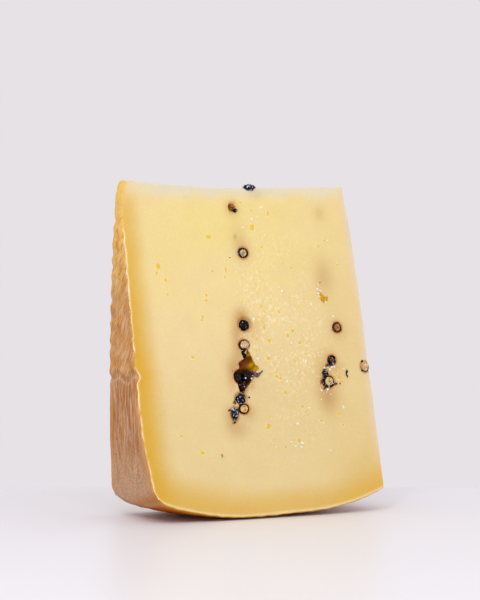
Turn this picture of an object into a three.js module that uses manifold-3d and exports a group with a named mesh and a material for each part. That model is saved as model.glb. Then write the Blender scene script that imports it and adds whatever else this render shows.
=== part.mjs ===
// A wedge of peppered pecorino, cut from a wheel and standing on its rind.
//
// The wheel's axis runs along X. The wedge is a narrow sector of the wheel: its thin edge is the
// wheel's middle and points up, its two wide faces are cut, and it stands on the wheel's bulging
// rim. The face towards -X is the wheel's own flat side, with a ridged rind. The face towards +X
// is a third cut. Peppercorns lie in two layers across the wedge and show where the cuts meet them.
//
// Places on the wedge are given as x along the wheel's axis, down from that axis, and side, which
// runs from -1 on the front cut (-Y) to 1 on the back cut (+Y). Millimetres throughout, +Z up. The
// origin is the middle of the small flat that the wedge stands on.
import * as THREE from "three";
import { mergeVertices } from "three/addons/utils/BufferGeometryUtils.js";
import Module from "manifold-3d";

const { clamp, degToRad, lerp, smoothstep } = THREE.MathUtils;

// The wheel that the wedge was cut from.
const WHEEL_RADIUS = 149.8; // at its fullest
const AXIS_HEIGHT = 150; // of the wheel's axis before the wedge leans
const RIM_FULL_FROM = 5; // the rim is fullest between these two places
const RIM_FULL_TO = 30;
const RIM_CURVE_RIND = 0.0041; // fall of the rim towards the rind face, per mm squared
const RIM_CURVE_CUT = 0.0048; // and towards the cut end

// The cuts.
const HALF_ANGLE = degToRad(9.3); // between the middle of the wedge and each cut face
const EDGE_THICKNESS = 2; // of the thin top edge
const CUT_END = 68.4; // place of the cut end
const CUT_END_PULL = 4.4; // how far the cut end draws in at the top edge
const CUT_END_REACH = 20; // how far down that draws in
const TOP_EDGE_DOWN = 1.5; // the top edge below the wheel's axis
const TOP_EDGE_RISE = 4.1; // its rise from the middle to the rind
const TOP_EDGE_BEND = 1.2; // above 1, the rise starts gently
const CUT_WAVE = 0.3; // unevenness of the cut faces

// The rind face.
const RIND_FACE = -48; // place of the rind at the front cut
const RIND_LEAN = 2; // how much further out it lies at the back cut, high up
const RIND_LEAN_FROM = 60; // the lean fades between these distances down
const RIND_LEAN_TO = 108;
const TOP_CORNER = 1.9; // rounding of the rind at the top edge
const TOP_CORNER_REACH = 6;
const RIM_TAPER = 2.9; // how far the rind face draws in above the rim
const RIM_TAPER_FROM = 105;
const RIM_TAPER_TO = 140;
const RIDGES = 20; // level ridges that would fit down the whole rind face
const RIDGE_HEIGHT = 0.45;
const RIDGES_TO = 80; // they end here, above the crease
const CREASE_DOWN = 84.6; // a level crease in the rind
const CREASE_DEPTH = 1.1;
const CREASE_WIDTH = 2.6;

// How it stands: it leans towards the rind face, on a small flat worn on the rim.
const LEAN = degToRad(2.1);
const FLAT_MIDDLE = 6; // place of the flat's middle
const FLAT_HEIGHT = 1.2; // height of the flat above the leaning wheel's base

// Facets: two rows to a ridge.
const ROWS = 2 * RIDGES;
const COLUMNS = 20;
const LAYERS = 8;

// A whole peppercorn sits astride the top edge like a bead.
const TOP_EDGE_CORN = { x: 16.4, down: 2.6, wide: 6, tall: 5.6, thick: 4.8 };

// Peppercorns that show on the front cut. proud is how far each stands out of the face.
const FRONT_CORNS = [
  { x: 6.3, down: 10.4, wide: 3, tall: 3.2, proud: 0.7 },
  { x: 9.2, down: 31.4, wide: 5.2, tall: 5.1, proud: 0.4 },
  { x: 6.2, down: 64.2, wide: 4.9, tall: 4.8, proud: 1 },
  { x: 5.3, down: 74.2, wide: 4.8, tall: 4.7, proud: 0.4 },
  { x: 4.6, down: 79, wide: 2.4, tall: 4.4, proud: 0.6 },
  { x: 0.4, down: 87.2, wide: 3.6, tall: 5.2, proud: 0.9 },
  { x: 4.8, down: 87.2, wide: 5.4, tall: 5.2, proud: 1.2 },
  { x: 2.4, down: 92.3, wide: 3.6, tall: 5.2, proud: 0.6 },
  { x: 10.1, down: 87.1, wide: 3, tall: 3.6, proud: 0.7 },
  { x: 0.6, down: 97.4, wide: 5.4, tall: 4.8, proud: 1 },
  { x: 1.5, down: 101.8, wide: 5.5, tall: 4.9, proud: 0.4 },
  { x: -2.9, down: 104.4, wide: 3.4, tall: 6.2, proud: 0.9 },
  { x: 53.8, down: 67.5, wide: 4.9, tall: 5.1, proud: 0.4 },
  { x: 49, down: 82.3, wide: 4.5, tall: 4.5, proud: 0.7 },
  { x: 44.9, down: 88.2, wide: 3, tall: 4.4, proud: 0.7 },
  { x: 46.4, down: 92.2, wide: 6.3, tall: 6.2, proud: 0.5 },
  { x: 66, down: 86.5, wide: 4.8, tall: 4.9, proud: 0.5 },
];

// Hollows in the front cut: where peppercorns fell out, and where the paste tore.
const FRONT_HOLLOWS = [
  { x: 6.6, down: 83.4, wide: 8.6, tall: 13.5, deep: 3 },
  { x: 48.1, down: 53, wide: 4.4, tall: 4.6, deep: 1.6 },
  { x: 47, down: 48, wide: 2, tall: 6, deep: 1 },
];

// Peppercorns on the back cut, in the same two layers, and on the cut end, between them.
const LAYER_MIDDLES = [9, 53]; // where the layers meet the top edge
const LAYER_SLANT = -0.07; // how they drift towards the rind on the way down
const BACK_PER_LAYER = 7;
const BACK_FROM = 14;
const BACK_TO = 128;
const END_CORNS = 4;
const END_FROM = 34;
const END_TO = 132;
const CORN_SCATTER = 4.5; // sideways, either way
const CORN_SIZE = 4.9; // across
const CORN_SIZE_SPREAD = 0.7;
const CORN_PROUD = [0.4, 1]; // of a cut one and of a whole one
const SEED = 1971;

// Repeatable numbers from 0 to 1.
function makeRandom(seed) {
  const MULTIPLIER = 48271;
  const MODULUS = 2147483647;
  let state = seed;
  return () => {
    state = (state * MULTIPLIER) % MODULUS;
    return state / MODULUS;
  };
}

// How far down the top edge and the rim lie at a place along the axis.
function topEdge(x) {
  return TOP_EDGE_DOWN - TOP_EDGE_RISE * clamp(x / RIND_FACE, 0, 1) ** TOP_EDGE_BEND;
}

function rim(x) {
  const towardsRind = Math.max(0, RIM_FULL_FROM - x);
  const towardsCut = Math.max(0, x - RIM_FULL_TO);
  return (
    WHEEL_RADIUS -
    RIM_CURVE_RIND * towardsRind ** 2 -
    RIM_CURVE_CUT * towardsCut ** 2
  );
}

// Relief of the rind face, outwards: level ridges, and the crease below them.
function rindRelief(down, drop) {
  const ridged = smoothstep(down, 3, 12) * (1 - smoothstep(down, RIDGES_TO - 4, RIDGES_TO + 4));
  const ridge = RIDGE_HEIGHT * ridged * Math.cos(2 * Math.PI * RIDGES * drop);
  const crease = CREASE_DEPTH * Math.exp(-(((down - CREASE_DOWN) / CREASE_WIDTH) ** 2));
  return ridge - crease;
}

// Place along the axis of the rind face and of the cut end.
function rindFace(down, side, drop) {
  const lean = RIND_LEAN * (1 - smoothstep(down, RIND_LEAN_FROM, RIND_LEAN_TO));
  const corner = TOP_CORNER * Math.exp(-(((down - topEdge(RIND_FACE)) / TOP_CORNER_REACH) ** 2));
  const taper = RIM_TAPER * smoothstep(down, RIM_TAPER_FROM, RIM_TAPER_TO);
  const atFront = RIND_FACE + corner + taper;
  return atFront - (lean * (1 + side)) / 2 - rindRelief(down, drop);
}

function cutEnd(down) {
  const wave = CUT_WAVE * Math.sin(down / 19 + 1);
  return CUT_END - CUT_END_PULL * Math.exp(-down / CUT_END_REACH) + wave;
}

// Direction of the wheel's axis once the wedge leans.
const AXIS_DIRECTION = new THREE.Vector3(Math.cos(LEAN), 0, Math.sin(LEAN));

// Stands a point of the leaning wheel on its flat.
function stand(x, y, z) {
  const leant = new THREE.Vector3(x, y, z).applyAxisAngle(new THREE.Vector3(0, 1, 0), -LEAN);
  return leant.sub(new THREE.Vector3(FLAT_MIDDLE, 0, FLAT_HEIGHT));
}

// A place on the wedge as a point. The cut faces open from a thin edge, not from a line.
function place(x, down, side) {
  const opening = down * Math.sin(HALF_ANGLE);
  const edge = (Math.hypot(opening, EDGE_THICKNESS) - opening) / 2;
  const wave = CUT_WAVE * Math.sin(x / 17 + 0.6) * Math.sin(down / 23 + side);
  const turn = side * HALF_ANGLE;
  const y = down * Math.sin(turn) + side * (edge + wave * smoothstep(down, 0, 30));
  return stand(x, y, AXIS_HEIGHT - down * Math.cos(turn));
}

// The body: a box of facets whose every vertex is moved to its place on the wedge.
function wedgeGeometry() {
  const box = new THREE.BoxGeometry(1, 1, 1, COLUMNS, LAYERS, ROWS);
  box.deleteAttribute("normal");
  box.deleteAttribute("uv");
  const geometry = mergeVertices(box);
  const position = geometry.getAttribute("position");
  for (let i = 0; i < position.count; i += 1) {
    const across = position.getX(i) + 0.5;
    const side = 2 * position.getY(i);
    const drop = 0.5 - position.getZ(i);
    let x = lerp(RIND_FACE, CUT_END, across);
    for (let pass = 0; pass < 2; pass += 1) {
      const down = lerp(topEdge(x), rim(x), drop);
      x = lerp(rindFace(down, side, drop), cutEnd(down), across);
    }
    const point = place(x, lerp(topEdge(x), rim(x), drop), side);
    position.setXYZ(i, point.x, point.y, point.z);
  }
  return geometry;
}

// An oval blob set into a face at a point: u runs across it and out runs out of it.
function blob(point, u, out, half) {
  const geometry = new THREE.IcosahedronGeometry(1, 1);
  geometry.deleteAttribute("normal");
  geometry.deleteAttribute("uv");
  const v = new THREE.Vector3().crossVectors(out, u);
  const basis = new THREE.Matrix4().makeBasis(
    u.clone().multiplyScalar(half.x),
    v.multiplyScalar(half.y),
    out.clone().multiplyScalar(half.z),
  );
  return mergeVertices(geometry.applyMatrix4(basis.setPosition(point)));
}

// The two directions of a cut face: across it along the axis, and out of it.
function cutDirections(x, down, side) {
  const step = 0.5;
  const u = place(x + step, down, side).sub(place(x - step, down, side)).normalize();
  const v = place(x, down - step, side).sub(place(x, down + step, side)).normalize();
  const out = new THREE.Vector3().crossVectors(u, v).multiplyScalar(-side).normalize();
  return { u, out };
}

function cutFaceBlob({ x, down, wide, tall, proud }, side) {
  const { u, out } = cutDirections(x, down, side);
  const half = new THREE.Vector3(wide / 2, tall / 2, proud);
  return blob(place(x, down, side), u, out, half);
}

function topEdgeBlob({ x, down, wide, tall, thick }) {
  const half = new THREE.Vector3(wide / 2, tall / 2, thick / 2);
  return blob(place(x, down, 0), AXIS_DIRECTION, new THREE.Vector3(0, -1, 0), half);
}

function cutEndBlob({ side, down, size, proud }) {
  const half = new THREE.Vector3(size / 2, size / 2, proud);
  return blob(place(cutEnd(down), down, side), new THREE.Vector3(0, 1, 0), AXIS_DIRECTION, half);
}

// The peppercorns of the unseen cuts: evenly spaced down each layer, then scattered.
function backCorns(random) {
  return LAYER_MIDDLES.flatMap((middle) =>
    Array.from({ length: BACK_PER_LAYER }, (_, i) => {
      const down = lerp(BACK_FROM, BACK_TO, (i + random()) / BACK_PER_LAYER);
      const size = CORN_SIZE + CORN_SIZE_SPREAD * (2 * random() - 1);
      const x = middle + LAYER_SLANT * down + CORN_SCATTER * (2 * random() - 1);
      return { x, down, wide: size, tall: size, proud: CORN_PROUD[i % CORN_PROUD.length] };
    }),
  );
}

function cutEndCorns(random) {
  return Array.from({ length: END_CORNS }, (_, i) => ({
    down: lerp(END_FROM, END_TO, (i + random()) / END_CORNS),
    side: 1.2 * random() - 0.6,
    size: CORN_SIZE + CORN_SIZE_SPREAD * (2 * random() - 1),
    proud: CORN_PROUD[i % CORN_PROUD.length],
  }));
}

const wasm = await Module();
wasm.setup();

function toSolid(geometry) {
  return new wasm.Manifold(
    new wasm.Mesh({
      numProp: 3,
      vertProperties: geometry.getAttribute("position").array,
      triVerts: new Uint32Array(geometry.index.array),
    }),
  );
}

function toGeometry(solid) {
  const mesh = solid.getMesh();
  const geometry = new THREE.BufferGeometry();
  geometry.setAttribute("position", new THREE.BufferAttribute(mesh.vertProperties, 3));
  geometry.setIndex(new THREE.BufferAttribute(mesh.triVerts, 1));
  return geometry;
}

// Everything below the flat, to be cut away.
function belowFlat() {
  const size = 4 * WHEEL_RADIUS;
  const geometry = new THREE.BoxGeometry(size, size, size).translate(0, 0, -size / 2);
  geometry.deleteAttribute("normal");
  geometry.deleteAttribute("uv");
  return mergeVertices(geometry);
}

function pecorinoWedge() {
  const random = makeRandom(SEED);
  const hollows = FRONT_HOLLOWS.map((hollow) => cutFaceBlob({ ...hollow, proud: hollow.deep }, -1));
  const corns = [
    topEdgeBlob(TOP_EDGE_CORN),
    ...FRONT_CORNS.map((corn) => cutFaceBlob(corn, -1)),
    ...backCorns(random).map((corn) => cutFaceBlob(corn, 1)),
    ...cutEndCorns(random).map(cutEndBlob),
  ];
  let solid = toSolid(wedgeGeometry()).subtract(toSolid(belowFlat()));
  for (const hollow of hollows) solid = solid.subtract(toSolid(hollow));
  for (const corn of corns) solid = solid.add(toSolid(corn));

  const paste = new THREE.MeshStandardMaterial({ color: "#f0d49a", roughness: 0.5, metalness: 0 });
  const mesh = new THREE.Mesh(toGeometry(solid), paste);
  mesh.name = "pecorino_wedge";
  return mesh;
}

const group = new THREE.Group();
group.add(pecorinoWedge());

export default group;
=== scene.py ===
"""Dresses a packed wedge of peppered pecorino: cut paste, ridged rind, peppercorns and crumbs.

The wedge is a narrow sector of a wheel that stands on its rind. Its thin edge is the wheel's middle
and points up. Places on it are given, in millimetres, as x along the wheel's axis, down from that
axis, and side, from -1 on the front cut (-Y) to 1 on the back cut (+Y). Shapes are worked out in
millimetres and written to the meshes in metres.
"""

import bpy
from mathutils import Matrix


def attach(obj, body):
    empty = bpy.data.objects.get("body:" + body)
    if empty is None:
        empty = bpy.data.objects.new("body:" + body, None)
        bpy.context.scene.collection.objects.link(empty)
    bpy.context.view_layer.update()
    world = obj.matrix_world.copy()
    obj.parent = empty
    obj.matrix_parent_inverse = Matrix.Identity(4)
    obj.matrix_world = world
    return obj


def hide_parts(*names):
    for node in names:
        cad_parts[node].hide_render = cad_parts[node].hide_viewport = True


bl_info = {
    "name": "Peppered Pecorino Wedge",
    "version": (1, 0, 0),
    "blender": (4, 5, 0),
    "location": "View3D > Sidebar > Pecorino",
    "description": "Builds a wedge of peppered pecorino around its packed solid",
    "category": "Add Mesh",
}

import math
from typing import NamedTuple

import bpy
import numpy as np
from bpy.props import FloatProperty, FloatVectorProperty, PointerProperty

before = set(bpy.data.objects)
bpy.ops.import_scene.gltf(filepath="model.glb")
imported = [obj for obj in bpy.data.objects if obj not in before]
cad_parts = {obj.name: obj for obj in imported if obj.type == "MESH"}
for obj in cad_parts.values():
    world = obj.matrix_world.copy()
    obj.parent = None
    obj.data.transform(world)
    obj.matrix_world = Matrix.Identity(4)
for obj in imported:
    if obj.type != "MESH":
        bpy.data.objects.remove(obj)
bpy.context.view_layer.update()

BODY = "root"
NODE = "pecorino_wedge"
MM = 0.001

# The wheel, its cuts and its rind, as the solid has them. Millimetres and degrees.
WHEEL_RADIUS = 149.8
AXIS_HEIGHT = 150.0
RIM_FULL_FROM = 5.0
RIM_FULL_TO = 30.0
RIM_CURVE_RIND = 0.0041
RIM_CURVE_CUT = 0.0048
HALF_ANGLE = math.radians(9.3)
EDGE_THICKNESS = 2.0
CUT_END = 68.4
CUT_END_PULL = 4.4
CUT_END_REACH = 20.0
TOP_EDGE_DOWN = 1.5
TOP_EDGE_RISE = 4.1
TOP_EDGE_BEND = 1.2
CUT_WAVE = 0.3
RIND_FACE = -48.0
RIND_LEAN = 2.5
RIND_LEAN_FROM = 40.0
TOP_CORNER = 1.9
TOP_CORNER_REACH = 6.0
RIM_TAPER = 2.9
RIM_TAPER_FROM = 105.0
RIM_TAPER_TO = 140.0
RIDGES = 20
RIDGES_BEGIN = (3.0, 12.0)
RIDGES_END = (76.0, 84.0)
RIDGE_SLANT = 0.008
CREASE_DOWN = 84.6
LEAN = math.radians(2.1)
FLAT_MIDDLE = 6.0
FLAT_HEIGHT = 1.2
BLOCK_WIDTH = CUT_END - RIND_FACE
BLOCK_HEIGHT = 150.0

# Directions along the wheel's axis, sideways, and up the cut end.
AXIS_DIRECTION = np.array((math.cos(LEAN), 0.0, math.sin(LEAN)))
SIDEWAYS = np.array((0.0, 1.0, 0.0))
END_UP = np.cross(AXIS_DIRECTION, SIDEWAYS)

# The rind's relief. The ridges are lower in front and grow between two places across. The crease
# follows a wave and a smaller one, and a lip stands above it. The strokes turn from slanted to
# straight at the crease and are weaker below it and at the foot.
RIDGE_SHARE_IN_FRONT = 0.4
RIDGES_GROW = (-8.0, 4.0)
RIDGE_UNEVENNESS = 0.25
RIDGE_WANDER = 0.05
CREASE_WIDTH = 1.56
CREASE_WAVE = 1.4
CREASE_WAVE_FROM = 3.7
CREASE_WAVE_REACH = 2.4
CREASE_RIPPLE = 0.4
CREASE_RIPPLE_REACH = 1.7
LIP_HEIGHT = 0.35
LIP_UP = 2.6
LIP_WIDTH = 1.6
STROKE_SLANT = (0.82, 0.57)
SLANTED_LENGTH = 6.0
STRAIGHT_WIDTH = 1.3
STRAIGHT_LENGTH = 16.0
STROKES_LOST_AT_FOOT = 0.7
STROKES_LOST_BELOW = 0.5

# The rind's back edge, which reaches a little further out and down than the solid's.
BACK_LEAN_TO = 170.0
BACK_TAPER = 0.3
BACK_RIM_CURVE = 0.003

# How far the rind's front edge is drawn out, near the top and lower down, and the cut end drawn in.
FRONT_DRAW = (0.8, 1.5)
FRONT_DRAW_GROWS = (20.0, 100.0)
END_DRAW = 0.9

# Rounding where rind and rim meet, and where rind and top edge meet.
FOOT_ROUND = 1.7
FOOT_ROUND_REACH = 3.4
CROWN_ROUND = 0.9
CROWN_ROUND_REACH = 1.1
# Extra rounding of the rind's edges near the top, where rind and paste merge.
CROWN_EDGE = 1.6
CROWN_EDGE_ACROSS = (3.0, 8.0)
CROWN_EDGE_DOWN = (10.0, 34.0)

# The rim's radius takes over this near the rim. No radius is more than this share of the thickness.
RIM_RADIUS_FROM = (2.0, 6.0)
MOST_ROUNDING = 0.4

# How far a face's own relief and marks reach past its edges, how uneven the faces are, and how the
# edges between them crumble.
FACE_REACH = 1.2
CUT_UNEVENNESS = 0.06
BACK_UNEVENNESS = 0.08
END_UNEVENNESS = 0.1
RIM_UNEVENNESS = 0.12
FINE_CRUMBLE = 0.07
COARSE_CRUMBLE = 0.09
CRUMBLE_DIRECTION = (0.6, 0.8, 0.0)

# How far the rind's colour wraps onto the front cut. The spur lies just below the crease.
REACH = 0.16
REACH_UNEVENNESS = 0.1
SPUR = 1.1
SPUR_DOWN = 0.6
SPUR_WIDTH = 1.6

# Rind and paste merge over this distance, at the top and lower down.
MERGE_REACH = (3.0, 0.5)
# The pale line along the rim's edge on the front cut is partly frayed paste and partly a painted highlight.
RIM_BURR_AND_HIGHLIGHT = 0.5

# Colours of the paste. A band is full up to one distance from its edge and gone at its reach. The
# rind's band reaches further low down, and the rim's band near the rind.
RIND_BAND_FULL = 1.5
RIND_BAND_REACH = (12.5, 16.0)
RIND_BAND_AT_TOP = 0.7
RIM_BAND_FULL = 3.0
RIM_BAND_REACH = (15.0, 20.0)
RIM_BAND_STRENGTH = (0.66, 0.76)
CORNER_REACH = (22.0, 20.0)
CORNER_STRENGTH = 0.4
# The pale line along the thin top edge is painted light coming through the thin paste. It fades over these
# distances, and is weaker at the rind.
BACKLIT_STRIP_FADES = (0.5, 8.0)
BACKLIT_STRIP_AT_RIND = 0.25
# The paler edge along the cut end is painted light, where light from behind comes through the edge.
END_BACKLIT_STRIP_REACH = 4.5
GOLDEN_PLACE = (6.0, 20.0)
GOLDEN_REACH = (60.0, 36.0)
BLUSH_STRENGTH = (0.35, 0.85)

# Lines of the wedge's mesh. The lines nearest an edge lie at EDGE_LINES from it. Between them the
# lines are finer where peppercorns show: each stop is a distance, and each gap is a spacing.
EDGE_LINES = (0.0, 0.15, 0.4, 0.8)
COLUMN_STOPS = (4.0, 41.0, 64.0, 89.0, 107.0)
COLUMN_GAPS = (0.55, 1.1, 0.48, 0.85, 0.58, 1.0)
ROW_STOPS = (56.0, 110.0)
ROW_GAPS = (0.95, 0.51, 1.02)
LAYERS = 36
# The lines near an edge take no more than this many quarters of the thickness.
EDGE_QUARTERS = 1.2


def colour(red, green, blue):
    """A colour given as screen values from 0 to 255, as linear light from 0 to 1."""
    screen = np.array((red, green, blue)) / 255.0
    linear = np.where(screen <= 0.04045, screen / 12.92, ((screen + 0.055) / 1.055) ** 2.4)
    return tuple(float(value) for value in linear)


# The peppercorns and marks that show. Places and sizes are in millimetres, on the front cut.

BLACK = colour(8, 6, 8)
BROWN_BLACK = colour(38, 16, 12)
RED_BROWN = colour(112, 48, 24)
CHESTNUT = colour(150, 80, 26)
BLUE_BLACK = colour(20, 24, 36)
PURPLE_BROWN = colour(104, 72, 66)
CREAM = colour(198, 172, 129)
TAN = colour(214, 176, 112)
OLIVE = colour(200, 176, 116)
GREY_OLIVE = colour(186, 169, 124)
PALE_PEACH = colour(194, 162, 118)
NUT_BROWN = colour(152, 114, 68)
ORANGE_BROWN = colour(140, 66, 20)
SEPIA = colour(74, 34, 12)
RUSSET = colour(206, 128, 62)
# Near white for the bits that stand for glints on the largest peppercorn: painted highlights.
GLINT_WHITE = colour(206, 216, 226)


class Whole(NamedTuple):
    """A whole peppercorn. Taper narrows its lower end, and turn tips it in the face, in degrees.

    Dust and glint is the share of pale flecks on its skin, partly dusty and partly painted highlights.
    Worn is the share of reddish patches in it.
    """

    x: float
    down: float
    wide: float
    tall: float
    proud: float
    tone: tuple
    taper: float = 0.0
    turn: float = 0.0
    wrinkle: float = 1.0
    dust: float = 0.3
    worn: float = 0.0


class Cut(NamedTuple):
    """A peppercorn that the cut went through.

    Its heart lies across by shift_x and down by shift_down. Its skin pales to the top tone, if any.
    """

    x: float
    down: float
    wide: float
    tall: float
    proud: float
    skin: tuple
    heart: tuple
    heart_share: float = 0.78
    shift_x: float = 0.0
    shift_down: float = 0.0
    hollow: float = 0.0
    dust: float = 0.2
    top: tuple = None


class Bit(NamedTuple):
    """A fragment of skin or heart, or a white painted highlight; tipped by turn degrees, narrowed at its
    foot by taper.
    """

    x: float
    down: float
    wide: float
    tall: float
    proud: float
    tone: tuple
    turn: float = 0.0
    taper: float = 0.0


class Light(NamedTuple):
    """A square light: how far forward, right and up its middle lies, and its side, in metres."""

    forward: float
    right: float
    up: float
    side: float


FRONT_WHOLE = (
    Whole(5.9, 10.3, 3.1, 3.7, 0.9, CHESTNUT, turn=40, wrinkle=0.7, dust=0.2),
    Whole(6.1, 64.2, 6.1, 6.0, 0.7, BLACK, turn=25, wrinkle=0.6, dust=0.1),
    Whole(0.3, 87.3, 3.8, 5.6, 0.9, BLACK, taper=0.25, turn=-14, wrinkle=1.2, dust=0.05, worn=0.3),
    Whole(4.8, 87.1, 5.6, 5.2, 1.3, BLACK, wrinkle=1.0, dust=0.05, worn=0.2),
    Whole(2.4, 91.8, 4.3, 5.8, 0.8, BROWN_BLACK, taper=0.6, turn=-4, wrinkle=1.6, dust=0.2, worn=0.8),
    Whole(0.6, 97.0, 5.7, 5.2, 1.1, BLACK, wrinkle=1.5, dust=0.6),
    Whole(-3.1, 103.8, 3.8, 6.0, 0.9, BLUE_BLACK, taper=0.4, turn=-6, wrinkle=2.0, dust=0.85),
    Whole(45.0, 88.3, 2.9, 3.6, 0.7, BLUE_BLACK, taper=0.3, turn=30, wrinkle=1.8, dust=0.9),
)

FRONT_CUT = (
    Cut(9.2, 31.4, 5.0, 5.0, 0.4, BROWN_BLACK, GREY_OLIVE, 0.62, -0.05, 0.0, 0.3, dust=0.3),
    Cut(4.6, 73.1, 5.0, 4.6, 0.4, BROWN_BLACK, CREAM, 0.84, 1.0, 0.1),
    Cut(1.4, 101.7, 5.2, 4.8, 0.4, BROWN_BLACK, TAN, 0.7, 0.1, 0.0, 0.1, dust=0.0),
    Cut(53.8, 67.4, 4.6, 4.9, 0.4, SEPIA, NUT_BROWN, 0.64, 0.0, 0.0, 0.4, dust=0.0),
    Cut(49.0, 82.3, 4.4, 4.5, 0.7, BLACK, ORANGE_BROWN, 0.42, 0.1, 0.1, 0.3, dust=0.7),
    Cut(45.8, 92.1, 6.0, 6.0, 0.5, BLACK, OLIVE, 0.66, 0.65, -0.2, 0.5, dust=0.5),
    Cut(66.0, 86.4, 4.7, 5.0, 0.4, BROWN_BLACK, PALE_PEACH, 0.8, 0.1, -0.3, top=TAN),
)

FRONT_BITS = (
    # The first three are near-white bits where light glints on the largest peppercorn: painted highlights.
    Bit(3.3, 88.2, 0.65, 0.6, 1.35, GLINT_WHITE),
    Bit(6.2, 88.6, 0.7, 0.75, 1.75, GLINT_WHITE),
    Bit(6.7, 87.3, 0.45, 0.4, 1.7, GLINT_WHITE),
    Bit(7.3, 11.9, 1.7, 1.5, 1.0, BLACK),
    Bit(4.1, 77.3, 2.9, 5.3, 0.8, BLACK, turn=-14, taper=0.6),
    Bit(1.9, 81.3, 1.5, 2.2, 0.5, RED_BROWN, turn=8),
    Bit(56.1, 88.3, 1.1, 2.1, 0.5, BROWN_BLACK, turn=-10),
    Bit(56.0, 90.1, 1.1, 1.7, 0.5, ORANGE_BROWN, turn=10, taper=0.3),
    Bit(47.8, 84.3, 2.3, 1.8, 0.7, BLUE_BLACK, turn=30),
    Bit(46.2, 84.5, 1.6, 1.4, 0.6, ORANGE_BROWN),
    Bit(49.6, 93.5, 1.8, 1.5, 0.6, PURPLE_BROWN),
    Bit(51.8, 93.4, 0.8, 0.8, 0.4, ORANGE_BROWN),
    Bit(42.2, 92.0, 1.2, 2.2, 0.4, ORANGE_BROWN, turn=-20),
    Bit(43.4, 95.1, 1.4, 0.9, 0.5, RED_BROWN, turn=30),
    Bit(64.9, 83.8, 1.2, 0.9, 0.6, BLACK),
    Bit(-4.0, 107.5, 1.9, 0.8, 0.5, RED_BROWN, turn=16),
    Bit(4.6, 96.8, 0.9, 0.8, 0.4, BROWN_BLACK),
    Bit(-3.1, 98.6, 1.3, 1.6, 0.4, RED_BROWN, turn=20),
    Bit(-5.8, 101.9, 1.6, 0.8, 0.4, RED_BROWN, turn=40),
    Bit(47.3, 46.2, 0.6, 0.7, 0.15, RED_BROWN),
    Bit(-11.8, 121.8, 1.0, 1.9, 0.2, RUSSET),
)

TOP_EDGE_CORN = Whole(15.9, 1.5, 6.4, 3.6, 4.8, BLACK, wrinkle=1.3, dust=0.9)

# The curled shell beside the largest peppercorn: an arc that ends in a flick.
SHELL_MIDDLE = (9.8, 85.2)
SHELL_RADIUS = 1.8
SHELL_FROM = 195.0
SHELL_TO = -5.0
SHELL_FLICK = 0.9
SHELL_THICKNESS = 1.2
SHELL_LIFT = 0.2
SHELL_SECTION = (0.55, 0.8)

# Cells along each side of the balls and the rod that the peppercorns and crumbs are made of.
WHOLE_CELLS = 20
CUT_CELLS = 24
BIT_CELLS = 10
CRUMB_CELLS = 2
SHELL_STEPS = 60
SHELL_CELLS = 8

# Where the hollow in a cut peppercorn's heart lies, and how wide it is.
HOLLOW_PLACE = (0.15, -0.1)
HOLLOW_WIDTH = 0.55
# The share of pale flecks on fragments, partly dusty and partly painted highlights.
BIT_DUST_AND_GLINT = 0.2

# Peppercorns of the unseen cuts, in the same two layers and with the same scatter as the solid's.
LAYER_MIDDLES = (9.0, 53.0)
LAYER_SLANT = -0.07
BACK_PER_LAYER = 7
BACK_FROM = 14.0
BACK_TO = 128.0
END_CORNS = 4
END_FROM = 34.0
END_TO = 132.0
CORN_SCATTER = 4.5
CORN_SIZE = 4.9
CORN_SIZE_SPREAD = 0.7
CORN_PROUD = (0.4, 1.0)
UNSEEN_SKINS = (BLACK, BROWN_BLACK, BLUE_BLACK)
UNSEEN_HEARTS = (TAN, GREY_OLIVE, CREAM, NUT_BROWN)
SEED = 1971

# Hollows in the front cut, as outlines of (x, down): the gap that peppercorns fell out of, and the
# torn pit. The mesh falls to the depth within the slope's width of the outline.
GAP_OUTLINE = (
    (6.1, 74.6), (7.3, 77.0), (8.4, 80.3), (9.4, 82.2), (11.0, 83.3), (11.2, 84.5), (9.3, 85.6),
    (8.3, 87.4), (7.0, 89.2), (4.9, 91.7), (2.4, 94.4), (0.9, 94.2), (-0.2, 90.4), (-1.6, 87.7),
    (-1.5, 85.6), (0.8, 84.0), (1.4, 81.8), (2.1, 80.1), (4.2, 79.2), (5.2, 78.2), (5.5, 75.8),
)
GAP_DEPTH = 2.6
GAP_SLOPE = 1.5
# Where the gap's floor is bright: x, down, reach. It rises there by a share of the gap's depth.
GLOWS = ((9.9, 83.9, 2.0), (8.0, 82.4, 1.4), (6.8, 77.6, 0.7))
GLOW_RISE = 0.5
GLOW_STRENGTH = 0.85
TEAR_OUTLINE = (
    (46.2, 50.4), (47.5, 51.2), (48.6, 52.7), (50.4, 53.3), (50.6, 54.7), (48.8, 55.7), (47.0, 55.0),
    (46.5, 52.8),
)
TEAR_DEPTH = 0.9
TEAR_SLOPE = 1.2
OUTLINE_WOBBLE = 0.25

# The pocket round a peppercorn: its depth, and the shares of the half size that it falls between.
WHOLE_POCKET = (0.9, (1.0, 1.35))
CUT_POCKET = (0.5, (0.96, 1.12))

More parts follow.
